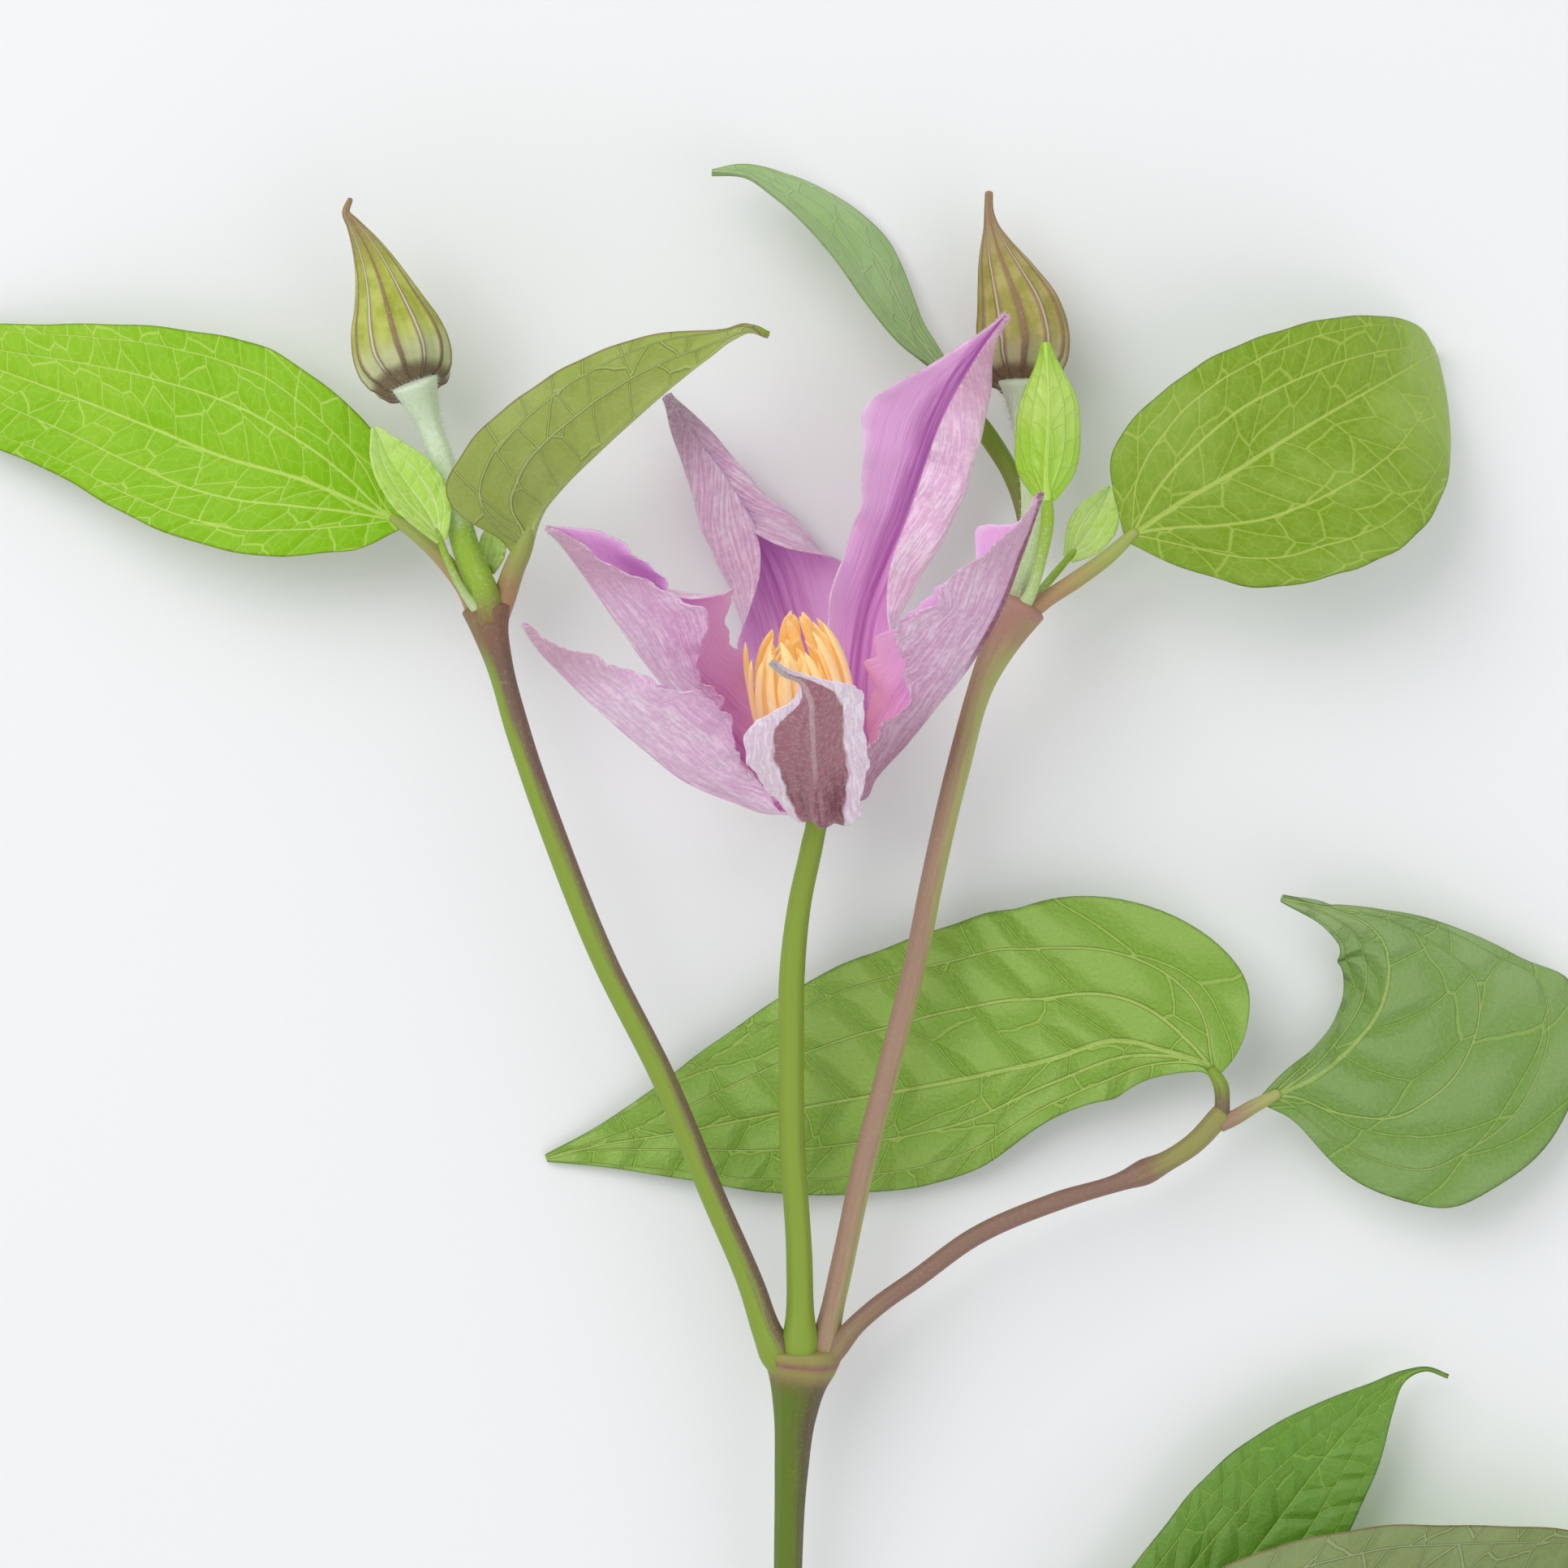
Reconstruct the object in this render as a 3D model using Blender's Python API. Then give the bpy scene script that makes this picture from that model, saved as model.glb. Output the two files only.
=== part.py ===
# Cut flowering shoot of a clematis, lying on its back on a flat surface.
# The shoot runs along +Y, the bloom opens upwards (+Z) and towards the buds (+Y).
# Route points and half-widths are in millimetres; the meshes are made in metres.

import math

import bmesh
import bpy
import numpy as np

MM = 0.001

# Middle of the shoot's footprint, in the plan that the route points are drawn on.
PLAN_CENTRE = (0.0, -47.1, 0.0)

LEAF_THICKNESS = 0.7
BRACT_THICKNESS = 0.7
TEPAL_THICKNESS = 0.8

# A folded half of a tepal turns over between these shares of its width.
ROLL_SPAN = (0.35, 0.70)
SECTION_STEPS = 24

# Rows along a blade and strips on each side of its midrib.
LEAF_GRID = (14, 3)
TEPAL_GRID = (13, 4)
FOLDED_GRID = (14, 5)
BRACT_GRID = (7, 2)

STEM_SIDES = 8
STALK_SIDES = 6

# The bloom's middle, on top of the stalk's swollen end, and the way it opens.
BLOOM_CENTRE = (4.0, -0.2, 16.3)
BLOOM_AXIS = (-0.14, 0.86, 0.50)
# Radius and height, on that axis, of a tepal's root and of the shoulder where it turns up.
TEPAL_ROOT = (3.1, -1.2)
TEPAL_SHOULDER = (6.4, -1.0)

STAMEN_RINGS = (
    # number, root radius, belly radius, length, half-turn offset
    (14, 4.1, 6.4, 23.0, 0.0),
    (10, 3.2, 4.7, 21.0, 0.5),
    (7, 2.4, 3.2, 18.5, 0.0),
)
STAMEN_WIDTH = 1.4
STAMEN_DEPTH = 0.75
STAMEN_COLLAR = (2.0, 4.4, 1.1)
STYLE_COUNT = 5
STYLE_LENGTH = 13.0
STYLE_WIDTH = 0.62
STYLE_CONE = (1.5, 0.75, 8.0)
SEAT_GAP = 0.35

BUD_RIBS = 12
BUD_SIDES = 24
BUD_RIB_HEIGHT = 0.05

# Flat spot under the bloom's back tepal: everything below the surface is cut away.
SURFACE_BLOCK = (200.0, 300.0, 20.0)


# Smooth curves through hand-placed points

def hermite(values, knots, where):
    slopes = np.gradient(values, knots, axis=0)
    index = np.clip(np.searchsorted(knots, where) - 1, 0, len(knots) - 2)
    span = (knots[index + 1] - knots[index])[:, None]
    t = (where - knots[index])[:, None] / span
    start = values[index] * (1 + 2 * t) * (1 - t) ** 2 + slopes[index] * span * t * (1 - t) ** 2
    end = values[index + 1] * t * t * (3 - 2 * t) + slopes[index + 1] * span * t * t * (t - 1)
    return start + end


def along(points, shares):
    """The rows of points (x, y, z and any widths), read at shares of the route's length."""
    points = np.array(points, float)
    knots = np.concatenate(([0.0], np.cumsum(np.linalg.norm(np.diff(points[:, :3], axis=0), axis=1))))
    fine = np.linspace(0.0, knots[-1], 40 * len(points))
    path = hermite(points, knots, fine)[:, :3]
    travelled = np.concatenate(([0.0], np.cumsum(np.linalg.norm(np.diff(path, axis=0), axis=1))))
    return hermite(points, knots, np.interp(np.asarray(shares) * travelled[-1], travelled, fine))


def eased(table, shares):
    """Values that are set at a few shares of a length, as rows (share, value, ...)."""
    table = np.array(table, float)
    if len(table) == 1:
        return np.repeat(table[:, 1:], len(shares), axis=0)
    return hermite(table[:, 1:], table[:, 0], np.clip(shares, table[0, 0], table[-1, 0]))


def unit(vectors):
    return vectors / np.linalg.norm(vectors, axis=-1, keepdims=True)


# Meshes and materials

def clear_scene():
    for thing in list(bpy.data.objects):
        bpy.data.objects.remove(thing, do_unlink=True)


def finish_material(name, colour, roughness):
    found = bpy.data.materials.get(name)
    if found:
        return found
    made = bpy.data.materials.new(name)
    made.use_nodes = True
    shader = made.node_tree.nodes["Principled BSDF"]
    shader.inputs["Base Color"].default_value = (*colour, 1.0)
    shader.inputs["Roughness"].default_value = roughness
    shader.inputs["Metallic"].default_value = 0.0
    made.diffuse_color = (*colour, 1.0)
    return made


def mesh_object(name, points, faces, finish):
    mesh = bpy.data.meshes.new(name)
    placed = (np.asarray(points, float) - PLAN_CENTRE) * MM
    mesh.from_pydata(placed.tolist(), [], faces)
    mesh.validate()
    thing = bpy.data.objects.new(name, mesh)
    bpy.context.scene.collection.objects.link(thing)
    mesh.materials.append(finish)
    return thing


def as_guide(thing):
    thing.hide_render = True
    thing.display_type = "WIRE"
    return thing


def fuse(thing, helper, operation="UNION"):
    cut = thing.modifiers.new(operation.title(), "BOOLEAN")
    cut.operation = operation
    cut.solver = "EXACT"
    cut.object = as_guide(helper)


# Stems: rings of points carried along a route

def ring_faces(rings, sides):
    faces = []
    for ring in range(rings - 1):
        for side in range(sides):
            a = ring * sides + side
            b = ring * sides + (side + 1) % sides
            faces.append((a, a + sides, b + sides, b))
    faces.append(tuple(range(sides)))
    faces.append(tuple(reversed(range((rings - 1) * sides, rings * sides))))
    return faces


def tube_points(centres, radii, sides, tall=1.0, end_slant=0.0):
    """Rings round a route that lies nearly level; tall stretches each ring upwards."""
    tangent = unit(np.gradient(centres, axis=0))
    side = unit(np.cross(tangent, (0.0, 0.0, 1.0)))
    up = np.cross(side, tangent)
    turn = (np.arange(sides) + 0.5) * 2 * math.pi / sides
    radii = np.asarray(radii)[:, None, None]
    tall = np.broadcast_to(tall, len(centres))[:, None, None]
    sideways = np.cos(turn)[None, :, None] * side[:, None, :]
    upwards = np.sin(turn)[None, :, None] * up[:, None, :] * tall
    rings = centres[:, None, :] + radii * (sideways + upwards)
    rings[0] += end_slant * np.sin(turn)[:, None] * radii[0] * tangent[0]
    return rings.reshape(-1, 3)


def stem(name, route, count, finish, sides=STEM_SIDES, end_slant=0.0):
    """A closed stem along rows (x, y, z, radius, and tallness where it is not round)."""
    spots = along(route, np.linspace(0.0, 1.0, count))
    tall = spots[:, 4] if spots.shape[1] > 4 else 1.0
    points = tube_points(spots[:, :3], spots[:, 3], sides, tall, end_slant)
    thing = mesh_object(name, points, ring_faces(count, sides), finish)
    thing.data.shade_smooth()
    return thing


# Blades: leaves, bracts and tepals

def half_section(width, bend, strips):
    """Reach and rise of one half at the strips' edges, for the heading (in degrees)
    fold + curl * v + roll * step(v), with v from 0 at the midrib to 1 at the margin."""
    v = (np.arange(SECTION_STEPS) + 0.5) / SECTION_STEPS
    turned = np.clip((v - ROLL_SPAN[0]) / (ROLL_SPAN[1] - ROLL_SPAN[0]), 0.0, 1.0)
    turned = turned * turned * (3.0 - 2.0 * turned)
    heading = np.radians(bend[:, :1] + bend[:, 1:2] * v + bend[:, 2:3] * turned)
    step = width[:, None] / SECTION_STEPS
    reach = np.cumsum(np.cos(heading) * step, axis=1)
    rise = np.cumsum(np.sin(heading) * step, axis=1)
    picks = (np.arange(1, strips + 1) * SECTION_STEPS) // strips - 1
    return reach[:, picks], rise[:, picks]


def blade_grid(grid, stations, face, left, right, lean=((0.0, 0.0, 0.0),), wave=(0.0, 1.0, 0.0)):
    """Points of a blade, as rows along it and columns from its left to its right margin.

    stations: rows (x, y, z, half-width to the left, half-width to the right)
    face: rows (share, x, y, z), the way that the upper or inner face looks
    left, right: rows (share, fold, curl, roll), as half_section reads them
    lean: rows (share, left, right), the degrees by which the strips run towards the tip
    wave: height, number and phase of the waves of the margin
    """
    rows, strips = grid
    share = np.linspace(0.0, 1.0, rows)
    share = share - 0.10 * np.sin(2 * math.pi * share) / math.pi
    line = along(stations, share)
    middle = line[:, :3]
    tangent = unit(np.gradient(middle, axis=0))
    normal = eased(face, share)
    normal = unit(normal - tangent * np.sum(normal * tangent, axis=1, keepdims=True))
    across = np.cross(tangent, normal)
    leaning = np.radians(eased(lean, share))
    v = np.arange(1, strips + 1) / strips
    height, number, phase = wave
    ripple = height * np.sin(math.pi * share) * np.sin(2 * math.pi * (number * share + phase))
    sheet = np.zeros((rows, 2 * strips + 1, 3))
    sheet[:, strips] = middle
    for sign, column, bend in ((-1, 0, left), (1, 1, right)):
        reach, rise = half_section(line[:, 3 + column], eased(bend, share), strips)
        rise = rise + sign * ripple[:, None] * v * v
        lean_here = leaning[:, column:column + 1]
        spread = (sign * reach * np.cos(lean_here))[:, :, None] * across[:, None, :]
        forward = (reach * np.sin(lean_here))[:, :, None] * tangent[:, None, :]
        half = middle[:, None, :] + spread + forward + rise[:, :, None] * normal[:, None, :]
        if sign < 0:
            sheet[:, :strips] = half[:, ::-1]
        else:
            sheet[:, strips + 1:] = half
    return sheet


def sheet_faces(rows, columns):
    """Two triangles for each field, slanting away from the midrib on both sides."""
    faces = []
    middle = columns // 2
    for row in range(rows - 1):
        for column in range(columns - 1):
            a = row * columns + column
            b, c, d = a + 1, a + columns + 1, a + columns
            if column < middle:
                faces.extend(((a, b, d), (b, c, d)))
            else:
                faces.extend(((a, b, c), (a, c, d)))
    return faces


def blade_object(name, sheet, thickness, finish):
    rows, columns = sheet.shape[:2]
    thing = mesh_object(name, sheet.reshape(-1, 3), sheet_faces(rows, columns), finish)
    thing.data.shade_smooth()
    wall = thing.modifiers.new("Thickness", "SOLIDIFY")
    wall.thickness = thickness * MM
    wall.offset = 0.0
    return thing


def leaf(name, finish, petiole, stations, face, left, right, grid=LEAF_GRID, rib=0.62, rib_end=0.85,
         thickness=LEAF_THICKNESS, **more):
    """A blade with its stalk; the stalk runs on under the blade as a tapering midrib."""
    sheet = blade_grid(grid, stations, face, left, right, **more)
    thing = blade_object(name, sheet, thickness, finish)
    stalk = along(petiole, np.linspace(0.0, 1.0, 3 + len(petiole)))
    share = np.linspace(0.04, rib_end, 7)
    middle = along(stations, share)[:, :3]
    tangent = unit(np.gradient(middle, axis=0))
    normal = eased(face, share)
    normal = unit(normal - tangent * np.sum(normal * tangent, axis=1, keepdims=True))
    taper = rib * (1.0 - 0.55 * share)
    under = middle - normal * (0.35 * thickness + 0.25 * taper)[:, None]
    centres = np.vstack((stalk[:, :3], under))
    radii = np.concatenate((stalk[:, 3], taper))
    points = tube_points(centres, radii, STALK_SIDES)
    tube = mesh_object(name + "_rib", points, ring_faces(len(centres), STALK_SIDES), finish)
    fuse(thing, tube)
    return thing


# The bloom's own frame

def bloom_frame():
    axis = unit(np.array(BLOOM_AXIS))
    right = unit(np.cross(axis, (0.0, 0.0, 1.0)))
    back = np.cross(right, axis) * -1.0
    return axis, right, back


def ring_spot(degrees, radius, height):
    """A point of the bloom: degrees round its axis (0 right, 90 at the back), then up it."""
    axis, right, back = bloom_frame()
    angle = math.radians(degrees)
    spot = np.array(BLOOM_CENTRE) + radius * (math.cos(angle) * right + math.sin(angle) * back)
    return tuple(spot + height * axis)


# Stems

def main_stem():
    route = (
        (0.0, -171.0, 2.25, 2.1, 1.0), (0.0, -160.0, 3.5, 2.05, 1.0), (0.0, -152.0, 4.6, 2.3, 1.0),
        (0.0, -148.0, 5.1, 3.2, 0.9), (0.2, -143.0, 5.6, 2.1, 1.0), (0.4, -133.0, 6.4, 1.75, 1.0),
        (0.5, -115.0, 7.6, 1.65, 1.0), (0.5, -98.0, 9.0, 1.65, 1.0), (1.2, -84.0, 10.6, 1.85, 1.0),
        (1.7, -76.5, 11.5, 2.75, 1.0), (1.9, -73.0, 11.9, 3.5, 0.95), (2.2, -71.2, 12.1, 4.6, 0.82),
        (2.2, -70.3, 12.2, 4.8, 0.8),
    )
    stem("main_stem", route, 30, green_stem(), sides=10, end_slant=0.5)


def shoot_left():
    route = (
        (-1.6, -69.1, 12.5, 1.5, 1.0), (-4.0, -62.5, 12.6, 1.6, 1.0), (-8.5, -52.0, 13.0, 1.5, 1.0),
        (-15.0, -36.5, 13.5, 1.5, 1.0), (-22.5, -21.5, 14.0, 1.5, 1.0), (-28.5, -6.5, 14.0, 1.5, 1.0),
        (-33.0, 6.5, 14.0, 1.5, 1.0), (-35.5, 15.5, 14.0, 1.6, 1.0), (-36.5, 19.5, 14.1, 2.1, 1.0),
        (-36.9, 22.0, 14.2, 2.9, 0.95),
    )
    stem("shoot_left", route, 22, green_stem())


def bloom_stalk():
    route = (
        (1.9, -69.4, 12.5, 1.65, 1.0), (2.0, -59.0, 13.0, 1.6, 1.0), (1.0, -44.0, 13.5, 1.55, 1.0),
        (0.9, -33.5, 13.5, 1.55, 1.0), (1.0, -23.5, 14.0, 1.55, 1.0), (2.0, -14.5, 14.0, 1.4, 1.0),
        (3.4, -8.0, 14.0, 1.35, 1.0), (4.1, -4.4, 14.3, 1.4, 1.0), (4.2, -2.4, 15.0, 2.0, 1.0),
        (4.0, -0.3, 16.2, 2.4, 1.0),
    )
    stem("bloom_stalk", route, 24, green_stem())


def shoot_right():
    route = (
        (5.1, -69.3, 11.3, 1.25, 1.0), (7.2, -60.0, 12.0, 1.35, 1.0), (10.0, -47.0, 12.5, 1.4, 1.0),
        (13.5, -33.5, 13.0, 1.4, 1.0), (16.5, -21.5, 13.0, 1.4, 1.0), (18.5, -11.5, 13.0, 1.4, 1.0),
        (21.5, 1.5, 13.5, 1.45, 1.0), (25.0, 13.5, 13.7, 1.6, 1.0), (27.4, 18.5, 13.8, 2.3, 1.0),
        (29.3, 22.4, 13.8, 3.2, 1.0),
    )
    stem("shoot_right", route, 22, purple_stem())


def leaf_mid_stalk():
    route = (
        (7.4, -69.1, 13.4, 1.0), (11.5, -65.0, 12.8, 1.2), (16.5, -61.5, 12.3, 1.2), (23.5, -56.5, 11.7, 1.2),
        (34.0, -52.0, 11.0, 1.2), (42.5, -49.4, 10.2, 1.25), (45.0, -48.4, 10.0, 1.65),
        (47.5, -47.2, 9.8, 1.3), (51.0, -45.0, 9.5, 1.3), (54.6, -41.3, 9.1, 1.35),
    )
    stem("leaf_mid_stalk", route, 18, purple_stem(), sides=STALK_SIDES)


def leaf_low_stalk():
    route = (
        (3.9, -145.8, 5.7, 1.3), (9.5, -142.0, 6.0, 1.25), (19.5, -137.0, 6.2, 1.2), (29.9, -132.2, 6.2, 1.5),
    )
    stem("leaf_low_stalk", route, 8, purple_stem(), sides=STALK_SIDES)


def bud_stalk_left():
    route = (
        (-37.2, 23.4, 15.4, 1.4), (-39.5, 29.0, 15.6, 1.6), (-41.0, 35.0, 16.0, 1.75),
        (-42.5, 40.5, 16.0, 1.7),
        (-44.5, 46.0, 15.5, 1.7), (-45.6, 48.6, 15.2, 2.5),
    )
    stem("bud_stalk_left", route, 11, downy_stem())


def bud_stalk_right():
    route = (
        (28.6, 23.9, 13.0, 1.2), (30.0, 28.0, 12.0, 1.4), (31.0, 33.0, 11.0, 1.5), (30.5, 41.0, 10.0, 1.4),
        (29.5, 49.3, 9.0, 2.2),
    )
    stem("bud_stalk_right", route, 11, downy_stem())


# Leaves

def leaf_left_outer():
    petiole = (
        (-39.3, 23.6, 13.6, 1.0), (-42.0, 27.5, 13.8, 1.05), (-45.0, 30.5, 13.2, 0.95),
        (-47.5, 32.5, 12.5, 0.8),
    )
    blade = (
        (-47.5, 32.5, 12.5, 1.0, 1.0), (-51.0, 34.0, 12.3, 5.4, 5.0), (-54.0, 35.4, 12.2, 7.3, 8.5),
        (-59.0, 37.5, 12.0, 10.0, 11.2), (-70.5, 41.0, 10.0, 11.3, 14.8), (-79.0, 44.5, 8.0, 11.2, 13.2),
        (-89.0, 48.5, 6.0, 9.7, 9.7), (-98.5, 52.0, 4.0, 9.0, 6.2), (-108.0, 55.5, 1.9, 5.0, 3.0),
        (-116.5, 57.5, 0.4, 0.5, 0.5),
    )
    leaf("leaf_left_outer", bright_leaf(), petiole, blade, ((0.0, 0.0, 0.0, 1.0),),
         left=((0.0, 6.0, 0.0, 0.0),), right=((0.0, 6.0, -8.0, 0.0),), wave=(0.4, 2.0, 0.1))


def leaf_left_inner():
    petiole = ((-34.7, 23.4, 13.4, 1.05), (-33.5, 26.5, 16.0, 1.25), (-32.4, 28.8, 18.0, 1.1))
    blade = (
        (-32.4, 28.8, 18.0, 1.1, 1.2), (-31.2, 31.4, 20.3, 2.8, 4.6), (-30.0, 33.6, 22.5, 6.6, 11.2),
        (-27.5, 36.5, 26.0, 10.5, 12.4),
        (-22.5, 41.0, 31.0, 12.0, 11.6), (-18.0, 44.8, 34.0, 11.5, 9.8), (-13.5, 48.5, 36.0, 9.5, 7.4),
        (-9.4, 51.6, 37.2, 6.0, 4.4), (-6.0, 54.0, 38.0, 2.6, 1.6), (-2.0, 55.0, 37.2, 0.5, 0.5),
    )
    face = ((0.0, -0.35, 0.45, -0.80), (1.0, -0.2, 0.5, -0.8))
    leaf("leaf_left_inner", olive_leaf(), petiole, blade, face,
         left=((0.0, 50.0, 20.0, 0.0), (0.3, 62.0, 20.0, 0.0), (1.0, 50.0, 10.0, 0.0)),
         right=((0.0, 8.0, 10.0, 0.0),),
         lean=((0.0, 10.0, -48.0), (0.12, 0.0, -25.0), (0.3, 0.0, -8.0), (1.0, 0.0, 0.0)))


def leaf_right_outer():
    petiole = (
        (31.7, 22.4, 13.2, 1.0), (36.5, 25.5, 14.5, 1.05), (40.3, 28.3, 15.8, 0.95), (42.5, 30.5, 16.5, 0.8),
    )
    blade = (
        (42.5, 30.5, 16.5, 1.0, 1.0), (44.6, 31.9, 17.1, 7.5, 5.5), (48.5, 34.5, 18.0, 11.4, 11.2),
        (55.5, 38.5, 19.0, 13.4, 16.0), (61.0, 42.0, 18.8, 13.2, 18.4), (67.3, 45.8, 17.4, 12.0, 18.8),
        (73.6, 49.4, 14.2, 9.6, 16.8), (78.4, 52.2, 9.6, 6.6, 12.4), (81.2, 53.8, 4.6, 3.4, 6.6),
        (82.2, 54.4, 0.6, 0.6, 0.5),
    )
    face = ((0.0, 0.0, 0.0, 1.0), (0.6, 0.1, 0.0, 1.0), (1.0, 0.9, 0.3, 0.4))
    leaf("leaf_right_outer", fresh_leaf(), petiole, blade, face,
         left=((0.0, 8.0, -14.0, 0.0),), right=((0.0, 6.0, -14.0, 0.0),), wave=(0.4, 1.5, 0.3))


def leaf_right_inner():
    petiole = (
        (29.2, 23.7, 10.6, 0.85), (30.1, 28.0, 8.2, 0.95), (30.2, 33.0, 6.8, 1.0), (28.6, 38.5, 6.4, 1.1),
        (25.4, 43.8, 6.8, 1.2), (22.7, 47.3, 7.6, 1.1),
    )
    blade = (
        (22.7, 47.3, 7.6, 1.4, 1.4), (18.9, 52.2, 8.2, 3.0, 3.0), (14.6, 56.3, 8.9, 6.0, 6.0),
        (11.6, 60.6, 9.2, 8.0, 8.0), (8.6, 65.2, 9.2, 9.2, 9.2), (4.2, 70.0, 9.2, 7.8, 7.8),
        (-0.8, 73.9, 9.4, 4.8, 4.8), (-5.0, 76.2, 9.7, 2.0, 2.0), (-9.0, 76.3, 10.0, 0.5, 0.5),
    )
    face = ((0.0, 0.72, 0.55, 0.42), (1.0, 0.55, 0.75, 0.42))
    leaf("leaf_right_inner", fresh_leaf(), petiole, blade, face,
         left=((0.0, 12.0, 0.0, 0.0),), right=((0.0, 12.0, 0.0, 0.0),))


def leaflet_mid_left():
    petiole = ((54.75, -39.9, 9.0, 0.9), (54.6, -37.8, 8.9, 0.95), (54.0, -36.3, 8.7, 0.8))
    blade = (
        (54.0, -36.3, 8.7, 0.6, 0.8), (52.8, -35.1, 8.5, 1.1, 5.0), (50.8, -34.2, 8.2, 2.0, 9.8),
        (47.6, -33.3, 7.8, 3.4, 14.0), (42.0, -32.1, 7.2, 7.1, 17.9), (33.4, -34.5, 6.4, 6.9, 19.4),
        (21.4, -37.2, 5.6, 11.9, 19.0), (3.4, -40.5, 4.4, 11.6, 14.6), (-6.6, -42.5, 3.6, 8.7, 10.4),
        (-14.6, -44.1, 2.8, 5.6, 6.4), (-23.6, -45.6, 1.6, 2.7, 2.2), (-30.0, -47.2, 0.8, 0.5, 0.5),
    )
    leaf("leaflet_mid_left", fresh_leaf(), petiole, blade, ((0.0, -0.1, 0.0, 1.0), (1.0, 0.0, 0.0, 1.0)),
         left=((0.0, 0.0, 0.0, 0.0), (0.35, -8.0, -6.0, 0.0), (1.0, 4.0, 0.0, 0.0)),
         right=((0.0, 4.0, -8.0, 0.0),),
         lean=((0.0, 0.0, -24.0), (0.083, 0.0, -28.0), (0.149, 0.0, 0.0), (0.22, 0.0, 0.0), (1.0, 0.0, 0.0)),
         wave=(0.5, 2.5, 0.0), grid=(20, 3))


def leaflet_mid_right():
    petiole = ((56.1, -41.75, 9.1, 0.95), (58.6, -40.3, 9.0, 0.9), (60.0, -39.4, 9.0, 0.8))
    blade = (
        (60.0, -39.4, 9.0, 0.7, 0.8), (63.4, -38.1, 9.0, 2.6, 4.6), (66.8, -36.4, 9.0, 4.2, 14.4),
        (69.8, -34.0, 8.8, 5.5, 22.0), (72.6, -31.1, 8.5, 6.0, 25.8), (74.4, -28.4, 8.3, 6.2, 27.4),
        (75.4, -25.4, 8.3, 6.4, 26.4), (75.6, -22.6, 8.6, 6.6, 22.8), (75.0, -20.0, 9.0, 6.6, 16.0),
        (73.0, -17.6, 9.6, 5.4, 7.4), (69.0, -15.8, 10.2, 3.0, 1.6), (62.0, -14.2, 11.0, 0.5, 0.5),
    )
    leaf("leaflet_mid_right", dark_leaf(), petiole, blade,
         ((0.0, 0.0, 0.0, 1.0), (0.7, 0.0, 0.0, 1.0), (1.0, -0.2, -0.3, 1.0)),
         left=((0.0, -10.0, -10.0, 0.0), (0.25, -44.0, -24.0, 0.0), (0.55, -24.0, -16.0, 0.0),
               (1.0, 0.0, 0.0, 0.0)),
         right=((0.0, -3.0, 0.0, 0.0), (1.0, 0.0, -6.0, 0.0)), wave=(0.4, 3.0, 0.2),
         lean=((0.0, 0.0, -12.0), (0.3, 0.0, -11.0), (0.5, 0.0, -6.0), (0.58, 0.0, -9.0), (0.64, 0.0, -28.0),
               (0.72, 0.0, -45.0), (0.84, 0.0, -55.0), (1.0, 0.0, -20.0)),
         grid=(18, 4), rib_end=0.8)


def leaflet_low_left():
    petiole = ((30.26, -130.82, 6.3, 0.8), (32.5, -128.0, 6.4, 0.9), (34.0, -125.8, 6.5, 0.8))
    blade = (
        (34.0, -125.8, 6.3, 1.0, 0.9), (36.4, -122.8, 6.0, 6.6, 3.6), (42.0, -116.0, 5.8, 10.8, 7.4),
        (50.0, -106.6, 6.2, 10.6, 9.2), (59.0, -96.0, 6.8, 11.3, 9.0), (65.0, -88.0, 7.0, 8.8, 7.6),
        (70.8, -80.6, 7.0, 4.8, 5.2), (74.4, -76.8, 6.6, 2.1, 2.6), (77.7, -74.2, 6.0, 0.8, 0.7),
        (80.6, -73.4, 5.4, 0.5, 0.5), (83.4, -74.4, 4.6, 0.5, 0.5),
    )
    leaf("leaflet_low_left", dark_leaf(), petiole, blade, ((0.0, 0.0, 0.0, 1.0),),
         left=((0.0, 8.0, -8.0, 0.0),), right=((0.0, 4.0, 0.0, 0.0),),
         lean=((0.0, -30.0, -30.0), (0.2, 0.0, 0.0), (1.0, 0.0, 0.0)), rib_end=0.8)


def leaflet_low_right():
    petiole = ((30.9, -132.95, 6.4, 0.8), (35.0, -130.2, 7.2, 0.9), (38.0, -127.4, 8.6, 0.8))
    blade = (
        (38.0, -127.4, 8.6, 1.0, 0.9), (42.0, -123.6, 11.4, 7.0, 6.0), (49.0, -117.8, 14.0, 12.4, 12.0),
        (59.0, -112.4, 15.6, 15.5, 16.2), (71.0, -107.6, 16.4, 16.0, 15.4), (84.0, -104.0, 16.0, 13.8, 12.0),
        (97.0, -102.0, 14.4, 9.6, 9.6), (108.0, -100.8, 12.0, 5.0, 5.2), (116.5, -99.5, 9.6, 0.5, 0.5),
    )
    face = ((0.0, 0.1, 0.1, -1.0), (1.0, 0.0, 0.2, -1.0))
    leaf("leaflet_low_right", olive_leaf(), petiole, blade, face,
         left=((0.0, 6.0, 0.0, 0.0),), right=((0.0, 4.0, 8.0, 0.0),),
         lean=((0.0, -30.0, -30.0), (0.2, 0.0, 0.0), (1.0, 0.0, 0.0)), wave=(0.5, 2.0, 0.0))


# Small leaves at the upper nodes

def small_leaf(name, finish, petiole, blade, face, cup, grid=BRACT_GRID):
    leaf(name, finish, petiole, blade, face, left=((0.0, cup, 12.0, 0.0),), right=((0.0, cup, 12.0, 0.0),),
         grid=grid, rib=0.45, thickness=BRACT_THICKNESS)


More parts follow.
